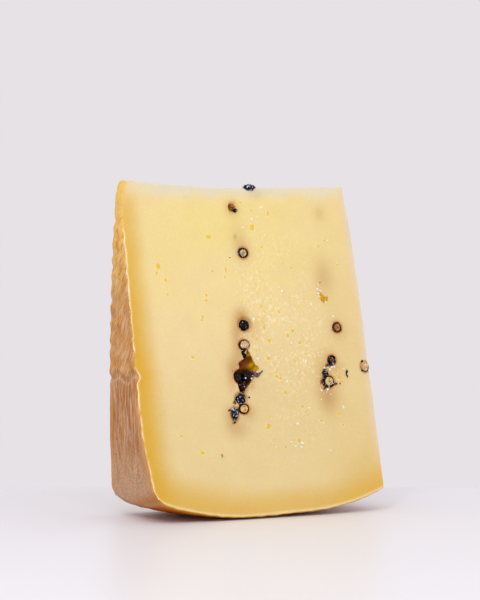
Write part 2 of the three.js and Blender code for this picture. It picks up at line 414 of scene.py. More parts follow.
# Small pits: x, down, width, height.
PITS = (
    (-33.2, 36.4, 2.0, 2.4), (-34.3, 39.3, 0.9, 1.4), (-30.3, 42.6, 1.5, 1.5), (-29.9, 49.0, 0.8, 1.3),
    (-7.3, 23.7, 2.3, 1.6), (-7.1, 39.2, 0.9, 1.4), (-0.3, 39.0, 0.8, 2.0), (-1.4, 42.1, 0.7, 1.1),
    (-11.3, 50.0, 1.0, 1.7), (-11.6, 52.4, 1.0, 1.2), (-14.1, 59.7, 1.0, 1.6), (-14.8, 61.1, 1.1, 0.8),
    (15.3, 19.8, 1.8, 2.8), (18.9, 29.0, 1.1, 1.1), (33.2, 39.0, 1.0, 1.0), (48.8, 29.4, 0.9, 1.0),
    (52.0, 26.6, 0.9, 1.0), (57.7, 38.3, 1.1, 1.0), (17.6, 71.9, 1.4, 1.8), (27.6, 70.0, 1.0, 2.1),
    (30.3, 67.9, 1.6, 1.5), (15.8, 66.0, 1.0, 1.6), (19.6, 88.2, 1.7, 1.5), (21.3, 89.2, 1.4, 1.2),
    (23.2, 95.8, 1.4, 1.4), (12.8, 110.3, 1.8, 2.2), (31.1, 102.6, 1.0, 1.4), (33.0, 104.6, 0.9, 0.9),
    (40.1, 109.7, 1.2, 1.1), (49.2, 107.3, 1.2, 1.5), (50.9, 112.4, 1.3, 1.0), (-21.1, 119.7, 2.0, 1.5),
    (-21.1, 77.5, 1.6, 1.2), (-30.3, 111.5, 1.4, 1.0), (33.2, 73.6, 2.0, 1.0), (24.0, 59.0, 1.0, 1.6),
    (16.2, 80.0, 1.5, 1.4), (27.5, 117.8, 1.4, 1.9), (20.3, 120.2, 1.0, 0.9), (51.6, 90.8, 1.6, 1.3),
    (52.1, 92.6, 1.1, 1.0), (7.3, 8.4, 1.6, 0.9), (10.4, 8.2, 1.0, 1.4), (24.0, 13.2, 0.8, 2.4),
    (15.8, 11.9, 0.9, 1.0), (47.4, 86.9, 1.8, 0.9), (52.3, 86.9, 1.7, 0.8), (49.6, 88.4, 1.0, 1.0),
)
PIT_DEPTH = 0.28
PIT_WIDTH = 0.55

# The oily ring round a peppercorn, in half sizes. A whole one's is weaker.
HALO_FADES = (0.98, 1.68)
WHOLE_HALO = 0.7

# Soft stains round the peppercorns: x, down, half width, half height, strength.
STAINS = (
    (5.0, 61.4, 3.4, 4.6, 0.72), (1.6, 68.0, 3.0, 7.0, 0.42), (1.4, 78.0, 2.8, 8.0, 0.42),
    (-1.6, 83.5, 3.4, 5.5, 0.5), (6.4, 91.6, 1.6, 2.2, 0.4), (-3.2, 90.0, 2.4, 6.0, 0.25),
    (-4.9, 105.5, 3.6, 5.4, 0.5), (-1.6, 111.0, 5.0, 4.0, 0.3), (3.6, 103.4, 3.4, 3.4, 0.4),
    (5.9, 10.8, 3.4, 3.6, 0.42), (8.0, 26.6, 3.8, 4.4, 0.24), (9.2, 31.4, 4.2, 4.2, 0.42),
    (19.2, 4.4, 3.4, 2.2, 0.2), (5.9, 24.0, 0.8, 1.2, 0.5), (7.4, 21.0, 4.6, 6.0, 0.12),
    (50.8, 14.1, 2.8, 3.4, 0.24), (49.4, 44.0, 5.0, 8.5, 0.34), (53.8, 68.4, 4.8, 5.6, 0.3),
    (43.4, 91.0, 3.6, 8.5, 0.42), (45.4, 99.4, 5.0, 7.0, 0.5), (47.6, 82.4, 4.2, 4.4, 0.34),
    (9.4, 66.0, 5.0, 4.4, 0.22), (8.0, 86.0, 14.0, 24.0, 0.1), (51.0, 86.2, 5.0, 3.0, 0.2),
    (51.5, 91.5, 3.0, 3.0, 0.16),
)

# White crumbs that lie apart: x, down, size. The rest are scattered.
WHITE_BITS = (
    (20.6, 10.8, 1.1), (18.6, 14.8, 0.9), (15.3, 16.1, 1.0), (10.6, 19.7, 1.0), (9.8, 24.6, 0.7),
    (10.4, 36.3, 0.9), (26.7, 49.5, 0.9), (25.4, 47.6, 0.8), (25.7, 61.9, 0.8), (18.9, 60.9, 0.8),
    (28.7, 73.5, 0.9), (32.2, 74.1, 0.9), (35.1, 82.3, 1.2), (23.6, 76.7, 0.9), (10.9, 61.7, 0.9),
    (41.2, 100.1, 1.0), (34.5, 103.5, 0.9), (38.7, 109.3, 0.8), (41.9, 95.9, 0.8), (45.0, 95.7, 1.0),
    (54.7, 86.8, 1.0), (48.3, 85.6, 1.0), (44.6, 85.6, 0.8), (52.3, 62.2, 0.8), (41.5, 56.2, 0.8),
    (47.2, 50.0, 0.9), (49.2, 55.4, 1.2), (41.0, 110.7, 1.1), (46.2, 47.6, 0.5), (45.6, 49.2, 0.9),
    (46.6, 49.8, 0.6), (45.9, 51.2, 0.8), (45.2, 53.0, 0.4), (46.1, 52.6, 0.6), (43.8, 93.9, 0.7),
    (44.4, 96.9, 0.6), (42.9, 97.3, 0.5), (49.9, 85.4, 0.7), (46.6, 85.3, 0.9), (50.9, 88.6, 0.7),
    (4.3, 67.7, 0.4), (5.6, 68.5, 0.4), (6.3, 67.6, 0.3), (3.5, 69.3, 0.3), (7.2, 69.4, 0.3),
    (5.0, 69.7, 0.3), (52.2, 104.6, 1.3), (23.4, 118.2, 1.1), (25.4, 120.3, 0.9), (28.9, 119.0, 1.2),
    (28.4, 120.8, 1.0), (15.6, 119.6, 0.8), (47.4, 86.6, 1.1),
)
SCATTERED_WHITE = 200
SCATTERED_DARK = 44
CRUMB_SEED = 29

# How much the speckles of the paste show, how deep the bumps are in millimetres, and how far red,
# green and blue light spread inside the paste, as shares of its glow depth.
SPECKLE_STRENGTH = 0.62
PASTE_RELIEF = 0.25
SKIN_RELIEF = 0.06
GLOW_RADII = (1.0, 0.55, 0.25)

# The floor, the camera's sensor in millimetres, and the lights: a large key, a softer fill and a
# small bright glint. Each light faces the point this far above the wedge's foot.
FLOOR_REACH = 1.6
FLOOR_LINES = 9
SENSOR_WIDTH = 36.0
LIGHT_TARGET = 0.075
LIGHTS = {
    "key": Light(-0.7, -0.08, 0.85, 0.6),
    "fill": Light(-0.5, 0.9, 0.35, 0.8),
    "glint": Light(-0.75, -0.2, 0.6, 0.022),
}


# ---- Settings ----


def colour_setting(name, description, red, green, blue):
    """A colour that the user can change, given as screen values from 0 to 255."""
    default = colour(red, green, blue)
    return FloatVectorProperty(
        name=name, description=description, default=default, subtype="COLOR", size=3, min=0.0, max=1.0
    )


def length_setting(name, description, millimetres):
    """A length that the user can change, given in millimetres."""
    return FloatProperty(
        name=name, description=description, default=millimetres * MM, min=0.0, unit="LENGTH", precision=5
    )


def power_setting(name, watts):
    """The power of one of the lights."""
    return FloatProperty(name=name, description="Power of this light", default=watts, min=0.0, unit="POWER")


class PasteSettings(bpy.types.PropertyGroup):
    """Sizes and colours of the cut paste."""

    paste: colour_setting("Paste", "Middle of the cut faces", 229, 208, 154)
    golden: colour_setting("Golden", "Paste towards the rind's upper end", 229, 210, 138)
    low: colour_setting("Low", "Paste towards the rim", 223, 203, 146)
    blush: colour_setting("Blush", "Paste towards the cut end", 220, 196, 134)
    # Painted light: the thin top edge's paler colour stands for light coming through the thin paste.
    strip: colour_setting("Strip", "Thin paste at the top edge", 218, 212, 182)
    # Painted light: the paler edge of the cut end stands for light from behind coming through the edge.
    end: colour_setting("End", "Dry paste along the cut end", 220, 203, 170)
    band: colour_setting("Band", "Dry dark band beneath the rind", 214, 170, 36)
    stain: colour_setting("Stain", "Paste stained by a peppercorn", 176, 118, 16)
    halo: colour_setting("Halo", "Ring of oily paste round a peppercorn", 206, 112, 10)
    hollow: colour_setting("Hollow", "Shaded paste inside a hollow", 120, 62, 0)
    amber: colour_setting("Amber", "Oily paste that glows in a hollow", 226, 174, 6)
    pit: colour_setting("Pit", "Bottom of a small pit", 226, 186, 0)
    pale: colour_setting("Pale", "Torn and crumbled paste", 242, 230, 200)
    crumb: colour_setting("Crumb", "Lightest parts of the crumbs", 250, 240, 220)
    edge_radius: length_setting("Edge radius", "Rounding of the cut edges", 0.5)
    rim_radius: length_setting("Rim radius", "Rounding of the edges at the rim", 0.4)
    glow_depth: length_setting("Glow depth", "How far light spreads inside the paste", 2.4)


class RindSettings(bpy.types.PropertyGroup):
    """Sizes and colours of the rind."""

    rind: colour_setting("Rind", "Upper rind", 241, 191, 94)
    crown: colour_setting("Crown", "Rind at the top edge", 232, 192, 104)
    middle: colour_setting("Middle rind", "Rind above the crease", 214, 157, 88)
    low: colour_setting("Lower rind", "Rind below the crease", 190, 130, 68)
    foot: colour_setting("Foot of the rind", "Rind near the rim", 200, 157, 116)
    rim: colour_setting("Rim", "Rind of the wheel's rim, at the cuts", 206, 150, 40)
    side: colour_setting("Side", "Lower rind beside the cuts", 216, 156, 84)
    # Painted shade: the rounded foot's lowest front corner is darker where it turns from the light.
    heel: colour_setting("Heel", "Where the rind and the rim meet, at the front", 196, 124, 36)
    # The rim's underside is deep orange: partly the rind's own colour, partly painted light standing for
    # light through the cheese.
    under: colour_setting("Under", "Rind of the rim that lies on the floor", 194, 94, 0)
    # Pale streaks, partly the rind's own and partly painted highlights on raised strokes; they also paint
    # light on the foot.
    bloom_and_highlight: colour_setting("Bloom", "Pale streaks on the rind", 226, 196, 168)
    # Dark lines, partly the rind's own and partly painted shade in the grooves between strokes.
    groove: colour_setting("Groove", "Dark lines in the rind", 138, 72, 28)
    ochre: colour_setting("Ochre", "Oily patches of the rind", 196, 114, 40)
    ridge_height: length_setting("Ridge height", "Height of the level ridges", 0.26)
    crease_depth: length_setting("Crease depth", "Depth of the level crease", 0.8)
    stroke_depth: length_setting("Stroke depth", "Depth of the fine strokes in the rind", 0.07)


class PeppercornSettings(bpy.types.PropertyGroup):
    """Sizes and colours of the peppercorns."""

    # The pale bluish flecks on the skins are partly dusty and partly painted highlights, where light glints.
    dust: colour_setting("Dust", "Bluish flecks on a peppercorn's skin", 206, 216, 234)
    wrinkle_depth: length_setting("Wrinkle depth", "Depth of the wrinkles in the skin", 0.34)


class StageSettings(bpy.types.PropertyGroup):
    """The floor, the light and the camera."""

    floor: colour_setting("Floor", "Pale floor", 234, 234, 238)
    wall: colour_setting("Wall", "Light behind and around the wedge", 231, 226, 230)
    camera_distance: length_setting("Camera distance", "From the camera to the wedge", 802.7)
    camera_height: length_setting("Camera height", "Above the floor", 96.8)
    camera_azimuth: FloatProperty(
        name="Camera azimuth",
        description="Turn of the view about Z",
        default=math.radians(-27),
        subtype="ANGLE",
    )
    lens: FloatProperty(name="Lens", description="Focal length", default=105.96, min=1.0, unit="CAMERA")
    floor_depth: length_setting("Floor depth", "From the wedge to the floor's far edge", 108.0)
    key_power: power_setting("Key light", 2.7)
    fill_power: power_setting("Fill light", 2.0)
    glint_power: power_setting("Glint", 0.7)


# ---- The wedge's shape ----


def smoothstep(value, low, high):
    """A smooth rise from 0 at low to 1 at high: 3t^2 - 2t^3 of the share t between them."""
    share = np.clip((value - low) / (high - low), 0.0, 1.0)
    return share * share * (3.0 - 2.0 * share)


def fall(value, low, high):
    """A smooth fall from 1 at low to 0 at high."""
    return 1.0 - smoothstep(value, low, high)


def lerp(first, second, share):
    """Share of the way from the first value to the second."""
    return first + (second - first) * share


def hill(distance, width):
    """A smooth hill of height 1: e to the minus (distance / width) squared."""
    return np.exp(-((distance / width) ** 2))


def mound(x, down, middle_x, middle_down, wide, tall, width=1.0):
    """A hill over a place, whose distance is counted in its own half widths and half heights."""
    return hill(np.hypot((x - middle_x) / wide, (down - middle_down) / tall), width)


def either(*shares):
    """The shares laid over each other: 1 minus the product of what each leaves open."""
    return 1.0 - math.prod(1.0 - share for share in shares)


def ripple(points, wavelength, seed, waves=24):
    """Smooth unevenness of unit size: a sum of cosines along random directions.

    Each is cos(2 pi d.p / w + a), with its wavelength w from 0.6 to 1.6 times the one given.
    """
    random = np.random.default_rng(seed)
    directions = random.normal(size=(waves, points.shape[-1]))
    directions /= np.linalg.norm(directions, axis=1, keepdims=True)
    lengths = wavelength * random.uniform(0.6, 1.6, waves)
    starts = random.uniform(0.0, 2.0 * math.pi, waves)
    turns = points @ (2.0 * math.pi * directions / lengths[:, None]).T
    return np.cos(turns + starts).sum(-1) * math.sqrt(2.0 / waves)


def outline_distance(x, down, outline):
    """How far each place lies inside a closed outline, below 0 outside it.

    It is the distance to the nearest straight side. The sign comes from counting the sides that a
    ray towards +x crosses.
    """
    points = np.stack([x, down], -1)[..., None, :]
    start = np.array(outline)
    side = np.roll(start, -1, 0) - start
    share = np.clip(((points - start) * side).sum(-1) / (side * side).sum(-1), 0.0, 1.0)
    distance = np.linalg.norm(points - (start + share[..., None] * side), axis=-1).min(-1)
    above = points[..., 1] < start[:, 1]
    end_above = points[..., 1] < (start + side)[:, 1]
    with np.errstate(divide="ignore", invalid="ignore"):
        crossing = start[:, 0] + side[:, 0] * (points[..., 1] - start[:, 1]) / side[:, 1]
    crossed = (above != end_above) & (points[..., 0] < crossing)
    return np.where(crossed.sum(-1) % 2 == 1, distance, -distance)


def top_edge(x):
    """How far down the top edge lies: it rises towards the rind."""
    return TOP_EDGE_DOWN - TOP_EDGE_RISE * np.clip(x / RIND_FACE, 0.0, 1.0) ** TOP_EDGE_BEND


def rim(x, side):
    """How far down the rim lies: full in the middle, falling with the square of the distance from it."""
    towards_rind = np.maximum(0.0, RIM_FULL_FROM - x)
    towards_cut = np.maximum(0.0, x - RIM_FULL_TO)
    rind_curve = lerp(RIM_CURVE_RIND, BACK_RIM_CURVE, (1 + side) / 2)
    return WHEEL_RADIUS - rind_curve * towards_rind**2 - RIM_CURVE_CUT * towards_cut**2


def crease_down(y):
    """How far down the crease lies across the rind: a wave with two rises, and a smaller one on it."""
    wave = CREASE_WAVE * np.cos((y - CREASE_WAVE_FROM) / CREASE_WAVE_REACH)
    return CREASE_DOWN - wave + CREASE_RIPPLE * np.sin(y / CREASE_RIPPLE_REACH)


def rind_relief(down, drop, y, rind):
    """Relief of the rind face, outwards.

    Level ridges follow a cosine of the share of the way down, each uneven across. Below them a
    crease dips under a raised lip. Fine strokes run slantwise above the crease and straight down
    below it.
    """
    spots = np.stack([down, y], -1)
    ridged = smoothstep(down, *RIDGES_BEGIN) * fall(down, *RIDGES_END)
    uneven = 1.0 + RIDGE_UNEVENNESS * ripple(spots, 14, seed=3)
    uneven = uneven * lerp(RIDGE_SHARE_IN_FRONT, 1.0, smoothstep(y, *RIDGES_GROW))
    wander = RIDGE_WANDER * ripple(spots / (1.0, 2.0), 12, seed=4) + RIDGE_SLANT * y
    ridge = ridged * uneven * np.cos(2 * math.pi * RIDGES * (drop + wander / RIDGES))
    below = down - crease_down(y)
    crease = hill(below, CREASE_WIDTH)
    lip = LIP_HEIGHT * hill(below + LIP_UP, LIP_WIDTH)
    across, along = STROKE_SLANT
    slanted = np.stack([y * across - down * along, (y * along + down * across) / SLANTED_LENGTH], -1)
    straight = np.stack([y / STRAIGHT_WIDTH, down / STRAIGHT_LENGTH], -1)
    turned_down = smoothstep(below, -1, 3)
    strokes = lerp(ripple(slanted, 2.4, seed=5), ripple(straight, 2.2, seed=6), turned_down)
    strokes = strokes * (1 - STROKES_LOST_AT_FOOT * smoothstep(down, 118, 132))
    strokes = strokes * (1 - STROKES_LOST_BELOW * turned_down)
    raised = rind.ridge_height * ridge - rind.crease_depth * crease + rind.stroke_depth * strokes
    return raised / MM + lip


def rind_face(down, side, drop, y, rind):
    """Place of the rind face along the axis."""
    back = (1 + side) / 2
    from_top = down - top_edge(RIND_FACE)
    lean = RIND_LEAN * fall(down, RIND_LEAN_FROM, BACK_LEAN_TO)
    corner = TOP_CORNER * hill(from_top, TOP_CORNER_REACH) + CROWN_ROUND * hill(from_top, CROWN_ROUND_REACH)
    taper = RIM_TAPER * smoothstep(down, RIM_TAPER_FROM, RIM_TAPER_TO) * lerp(1.0, BACK_TAPER, back)
    drawn = lerp(*FRONT_DRAW, smoothstep(down, *FRONT_DRAW_GROWS)) * (1 - back)
    return RIND_FACE + corner + taper - lean * back - drawn - rind_relief(down, drop, y, rind)


def cut_end(down):
    """Place of the cut end along the axis: it draws in at the top edge."""
    drawn = END_DRAW * smoothstep(down, 0, 10) * fall(down, 25, 60)
    return CUT_END - CUT_END_PULL * np.exp(-down / CUT_END_REACH) + CUT_WAVE * np.sin(down / 19 + 1) - drawn


def opening_at(down):
    """Half thickness of the wedge at each place down, and how much of it the thin edge adds."""
    opening = down * math.sin(HALF_ANGLE)
    edge = (np.hypot(opening, EDGE_THICKNESS) - opening) / 2
    return opening + edge, edge


def stand(points):
    """Leans points of the wheel about Y, then sets them on the flat."""
    cosine, sine = math.cos(LEAN), math.sin(LEAN)
    x = points[..., 0] * cosine - points[..., 2] * sine - FLAT_MIDDLE
    z = points[..., 0] * sine + points[..., 2] * cosine - FLAT_HEIGHT
    return np.stack([x, points[..., 1], z], -1)


def place(x, down, side):
    """A place on the wedge as a point.

    The point lies down along a radius of the wheel that is turned by side times the half angle,
    and a little further out, because the cut faces open from a thin edge and are slightly wavy.
    """
    x, down, side = np.broadcast_arrays(x, down, side)
    edge = opening_at(down)[1]
    wave = CUT_WAVE * np.sin(x / 17 + 0.6) * np.sin(down / 23 + side) * smoothstep(down, 0, 30)
    turn = side * HALF_ANGLE
    y = down * np.sin(turn) + side * (edge + wave)
    return stand(np.stack([x, y, AXIS_HEIGHT - down * np.cos(turn)], -1))


def face_directions(x, down, side):
    """Directions across, up and out of a cut face at each place, from neighbouring places."""
    step = 0.5
    across = place(x + step, down, side) - place(x - step, down, side)
    up = place(x, down - step, side) - place(x, down + step, side)
    across /= np.linalg.norm(across, axis=-1, keepdims=True)
    up /= np.linalg.norm(up, axis=-1, keepdims=True)
    out = -np.expand_dims(side, -1) * np.cross(across, up)
    return across, up, out


# ---- Meshes ----


def box_shell(columns, rows, layers):
    """The surface of a box of cells, as one closed sheet of quads.

    Returns the column, row and layer of each vertex, and the quads. Columns run along +X, rows
    along -Z and layers along +Y, and the quads face outwards.
    """
    shell = np.ones((columns + 1, rows + 1, layers + 1), bool)
    shell[1:-1, 1:-1, 1:-1] = False
    number = np.full(shell.shape, -1)
    number[shell] = np.arange(np.count_nonzero(shell))
    inward = (number[0], number[:, -1], number[:, :, 0])
    outward = (number[-1], number[:, 0], number[:, :, -1])
    quads = [sheet_quads(sheet)[:, ::-1] for sheet in inward] + [sheet_quads(sheet) for sheet in outward]
    return np.nonzero(shell), np.concatenate(quads)


def sheet_quads(sheet):
    """Quads between the neighbouring vertex numbers of a sheet."""
    corners = (sheet[:-1, :-1], sheet[1:, :-1], sheet[1:, 1:], sheet[:-1, 1:])
    return np.stack(corners, -1).reshape(-1, 4)


def unit_ball(cells):
    """A ball of radius 1: a box shell whose grid is spaced by tangents, pushed out to the ball."""
    grid, quads = box_shell(cells, cells, cells)
    spaced = np.tan((2.0 * np.stack(grid, -1) / cells - 1.0) * math.pi / 4)
    spaced[:, [1, 2]] = spaced[:, [2, 1]] * (1.0, -1.0)
    return spaced / np.linalg.norm(spaced, axis=-1, keepdims=True), quads


def unit_rod(steps, cells):
    """A rod along X from 0 to 1 with a round section of radius 1.

    It is a long box shell whose square section (a, b) becomes a disc: a sqrt(1 - b^2/2) and
    b sqrt(1 - a^2/2).
    """
    (column, row, layer), quads = box_shell(steps, cells, cells)
    a = 2.0 * layer / cells - 1.0
    b = 1.0 - 2.0 * row / cells
    return np.stack([column / steps, a * np.sqrt(1 - b * b / 2), b * np.sqrt(1 - a * a / 2)], -1), quads


class Shape(NamedTuple):
    """Points in millimetres, quads between them, and each point's colour and share of flecks and painted
    highlights.
    """

    points: np.ndarray
    quads: np.ndarray
    tones: np.ndarray
    dust: np.ndarray


def joined(shapes):
    """Several shapes as one."""
    starts = np.cumsum([0] + [len(shape.points) for shape in shapes[:-1]])
    return Shape(
        np.concatenate([shape.points for shape in shapes]),
        np.concatenate([shape.quads + start for shape, start in zip(shapes, starts)]),
        np.concatenate([shape.tones for shape in shapes]),
        np.concatenate([shape.dust for shape in shapes]),
    )


def add_object(name, data):
    """Puts an object into the scene."""
    thing = bpy.data.objects.new(name, data)
    bpy.context.scene.collection.objects.link(thing)
    return thing


def new_shape(points, quads, tones, dust):
    """A shape with tones held from 0 to 1, and one share of flecks and painted highlights or one for each
    point.
    """
    return Shape(points, quads, np.clip(tones, 0, 1), np.full(len(points), dust))


def new_piece(name, points, quads, material, slot, attributes):
    mesh = bpy.data.meshes.new(name)
    mesh.vertices.add(len(points))
    mesh.vertices.foreach_set("co", (points * MM).astype(np.float32).ravel())
    mesh.loops.add(quads.size)
    mesh.loops.foreach_set("vertex_index", quads.astype(np.int32).ravel())
    mesh.polygons.add(len(quads))
    mesh.polygons.foreach_set("loop_start", np.arange(0, quads.size, 4, dtype=np.int32))
    mesh.update(calc_edges=True)
    mesh.shade_smooth()
    for label, values in attributes.items():
        if values.ndim == 1:
            layer = mesh.attributes.new(label, "FLOAT", "POINT")
            layer.data.foreach_set("value", values.astype(np.float32))
        else:
            layer = mesh.attributes.new(label, "FLOAT_VECTOR", "POINT")
            layer.data.foreach_set("vector", values.astype(np.float32).ravel())
    if mesh.validate():
        raise RuntimeError(f"{name} has faces that Blender had to mend")
    mesh.materials.append(material)
    piece = add_object(name, mesh)
    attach(piece, BODY)
    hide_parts(NODE)


# ---- The wedge ----


def lines(size, stops, gaps):
    """Distances from 0 to size, close together at both ends and evenly spaced between the stops."""
    inner = (EDGE_LINES[-1], *stops, size - EDGE_LINES[-1])
    middle = [
        np.linspace(low, high, max(1, round((high - low) / gap)), endpoint=False)
        for low, high, gap in zip(inner, inner[1:], gaps)
    ]
    return np.concatenate([EDGE_LINES[:-1], *middle, size - np.array(EDGE_LINES[::-1])])


def across_lines(thickness, layer):
    """Distance of each layer's line from the front cut: the outer ones at fixed distances."""
    last = len(EDGE_LINES) - 1
    scaled = EDGE_LINES * np.minimum(1.0, thickness[:, None] / 4 / EDGE_LINES[-1] * EDGE_QUARTERS)
    share = (layer - last) / (LAYERS - 2 * last)
    low = scaled[:, -1]
    middle = lerp(low, thickness - low, np.clip(share, 0, 1))
    row = np.arange(len(layer))
    front = scaled[row, np.clip(layer, 0, last)]
    back = thickness - scaled[row, np.clip(LAYERS - layer, 0, last)]
    return np.where(layer <= last, front, np.where(layer >= LAYERS - last, back, middle))


def rounded_block(block, size, radius):
    """Rounds the edges of a block by a radius.

    A point p becomes c + r d / |d|, where c is p held r inside each side, and d = p - c.
    """
    held = np.clip(block, radius[:, None], size - radius[:, None])
    away = block - held
    length = np.linalg.norm(away, axis=-1, keepdims=True)
    return held + radius[:, None] * away / np.maximum(length, 1e-9)


def rind_reach(down, y):
    """How far the rind's colour wraps onto the front cut, with a spur at the crease."""
    uneven = REACH_UNEVENNESS * ripple(np.stack([down, y], -1), 8.0, seed=11)
    return REACH + uneven + SPUR * hill(down - CREASE_DOWN - SPUR_DOWN, SPUR_WIDTH)


def corn_distance(x, down, corn):
    """Distance from a peppercorn's middle on its face, as a share of its half size."""
    return np.hypot((x - corn.x) / (corn.wide / 2), (down - corn.down) / (corn.tall / 2))


def glow_share(x, down):
    """1 at the bright spots of the gap's floor, falling to 0 round them."""
    return np.max([mound(x, down, *spot, 1, 1, reach) for *spot, reach in GLOWS], 0)


def front_relief(x, down):
    """Relief of the front cut, outwards: a gap, a tear, pits, and a pocket round each peppercorn."""
    spots = np.stack([x, down], -1)
    wobble = OUTLINE_WOBBLE * ripple(spots, 2.2, seed=12)
    height = CUT_UNEVENNESS * ripple(spots, 16, seed=13)
    gap_depth = GAP_DEPTH * (1 - GLOW_RISE * glow_share(x, down))
    height -= gap_depth * smoothstep(outline_distance(x, down, GAP_OUTLINE) + wobble, 0.0, GAP_SLOPE)
    height -= TEAR_DEPTH * smoothstep(outline_distance(x, down, TEAR_OUTLINE) + wobble, 0.0, TEAR_SLOPE)
    for pit in PITS:
        height -= PIT_DEPTH * mound(x, down, *pit, PIT_WIDTH)
    for corns, depth, reach in ((FRONT_WHOLE, *WHOLE_POCKET), (FRONT_CUT, *CUT_POCKET)):
        for corn in corns:
            height -= depth * fall(corn_distance(x, down, corn), *reach)
    return height


def paste_marks(x, down, spots, from_rind, from_rim, from_top):
    """Where the broad colours of the paste show: the bands along its edges and the middle's tones.
    The pale edges along the thin top and the cut end are painted light, and the very top has painted shade.
    """
    slow = ripple(spots, 30, seed=21)
    quick = ripple(spots, 16, seed=22)
    near_left = fall(from_rind, 15, 60)
    reach = lerp(*RIND_BAND_REACH, smoothstep(down, 20, 110))
    rind_band = fall(from_rind + 0.3 * quick, RIND_BAND_FULL, reach)
    rind_band *= lerp(RIND_BAND_AT_TOP, 1.0, smoothstep(down, 5, 70)) * smoothstep(down, -4, 12)
    rim_band = fall(from_rim + 0.3 * quick, RIM_BAND_FULL, lerp(*RIM_BAND_REACH, near_left))
    rim_band *= lerp(*RIM_BAND_STRENGTH, near_left)
    corner_band = CORNER_STRENGTH * mound(x, from_rim, CUT_END, 0, *CORNER_REACH)
    # Painted light: the thin top edge is paler where light comes through the thin paste.
    strip = fall(from_top + 0.6 * quick, *BACKLIT_STRIP_FADES)
    strip *= lerp(BACKLIT_STRIP_AT_RIND, 1.0, smoothstep(from_rind, 0, 12))
    # Painted light along the cut end, where light from behind comes through the edge.
    end_backlit_strip = fall(BLOCK_WIDTH - from_rind + 0.4 * quick, 0.0, END_BACKLIT_STRIP_REACH)
    golden = mound(x, down, *GOLDEN_PLACE, *GOLDEN_REACH) * (1 + 0.2 * slow)
    blush = smoothstep(x, 10, 64) * lerp(*BLUSH_STRENGTH, smoothstep(down, 20, 80)) * (1 + 0.15 * slow)
    speckled = smoothstep(x, -10, 12) * fall(x, 30, 58) * np.clip(0.6 + 0.4 * quick, 0.1, 1)
    speckled *= smoothstep(down, 8, 56) * (1 - 0.6 * smoothstep(down, 88, 100)) * fall(down, 115, 135)
    return {
        "band": np.clip(either(rind_band, rim_band, corner_band), 0, 1),
        "strip": strip,
        # Painted shade: the very top of the thin edge is darkened where light strikes it.
        "topmost": fall(from_top, 0.0, 1.2),
        "end": end_backlit_strip * smoothstep(from_rim, 5, 30),
        "speckle": speckled,
        "golden": np.clip(golden, 0, 1),
        "low": smoothstep(down, 60, 105),
        "blush": np.clip(blush, 0, 1),
    }


def corn_marks(x, down):
    """Where the peppercorns stain the paste, and where the gap and the tear lie."""
    stains = [strength * mound(x, down, *spot) for *spot, strength in STAINS]
    halos = [fall(corn_distance(x, down, corn), *HALO_FADES) for corn in FRONT_WHOLE + FRONT_CUT]
    strengths = [WHOLE_HALO] * len(FRONT_WHOLE) + [1.0] * len(FRONT_CUT)
    gap = smoothstep(outline_distance(x, down, GAP_OUTLINE), -0.4, 0.5)
    tear = smoothstep(outline_distance(x, down, TEAR_OUTLINE), -0.5, 0.3)
    return {
        "stain": either(*stains),
        "halo": np.max([strength * halo for strength, halo in zip(strengths, halos)], 0),
        "hollow": np.maximum(gap, tear),
        "glow": np.maximum(GLOW_STRENGTH * glow_share(x, down), tear),
    }


def rind_marks(down, y, spots, from_rind, from_rim, from_cut, front):
    """Where the rind shows, its frayed edge with a painted highlight, and its tones with painted light and
    shade.
    """
    reach = from_rind - rind_reach(down, y)
    # The pale frayed lines along the rind's and the rim's edges are partly frayed paste and partly painted
    # highlights.
    rind_burr_and_highlight = hill(reach - 0.45, 0.38) * np.clip(0.85 + 0.4 * ripple(spots, 5.0, seed=23), 0, 1)
    rim_burr_and_highlight = RIM_BURR_AND_HIGHLIGHT * hill(from_rim - 0.7, 0.35)
    merge = lerp(*MERGE_REACH, smoothstep(down, 2, 20))
    below = down - crease_down(y)
    return {
        "burr": (rind_burr_and_highlight * smoothstep(down, 2, 18) + rim_burr_and_highlight) * front,
        "rind": np.maximum(fall(reach, 0.0, merge), fall(from_rim, 0.1, 0.6)),
        "rim": fall(from_rim, 0.3, 1.6) * smoothstep(from_rind, 0, 8),
        # Painted shade at the lowest front corner of the foot.
        "heel": fall(from_rim + from_rind, 0.5, 5.0) * fall(y, -16, 10),
        # The rim's underside, deep orange: partly painted light, standing for light coming through the
        # cheese.
        "under": smoothstep(from_cut, 1.0, 7.0),
        "near_cut": fall(from_cut, 0.5, 6.0) * smoothstep(down, 76, 100),
        "fold": hill(below - 1.4, 0.6) * (1 - 0.5 * hill(y + 6, 5)),
        "crease": hill(below + 1.4, 1.3) * smoothstep(from_rind, -1.0, 0.2) * (1 - front),
        "below": smoothstep(below, -2.0, 3.0),
    }


def near(distance):
    """1 on a face, falling to 0 where the next face begins to turn away."""
    return fall(distance, 0.0, FACE_REACH)


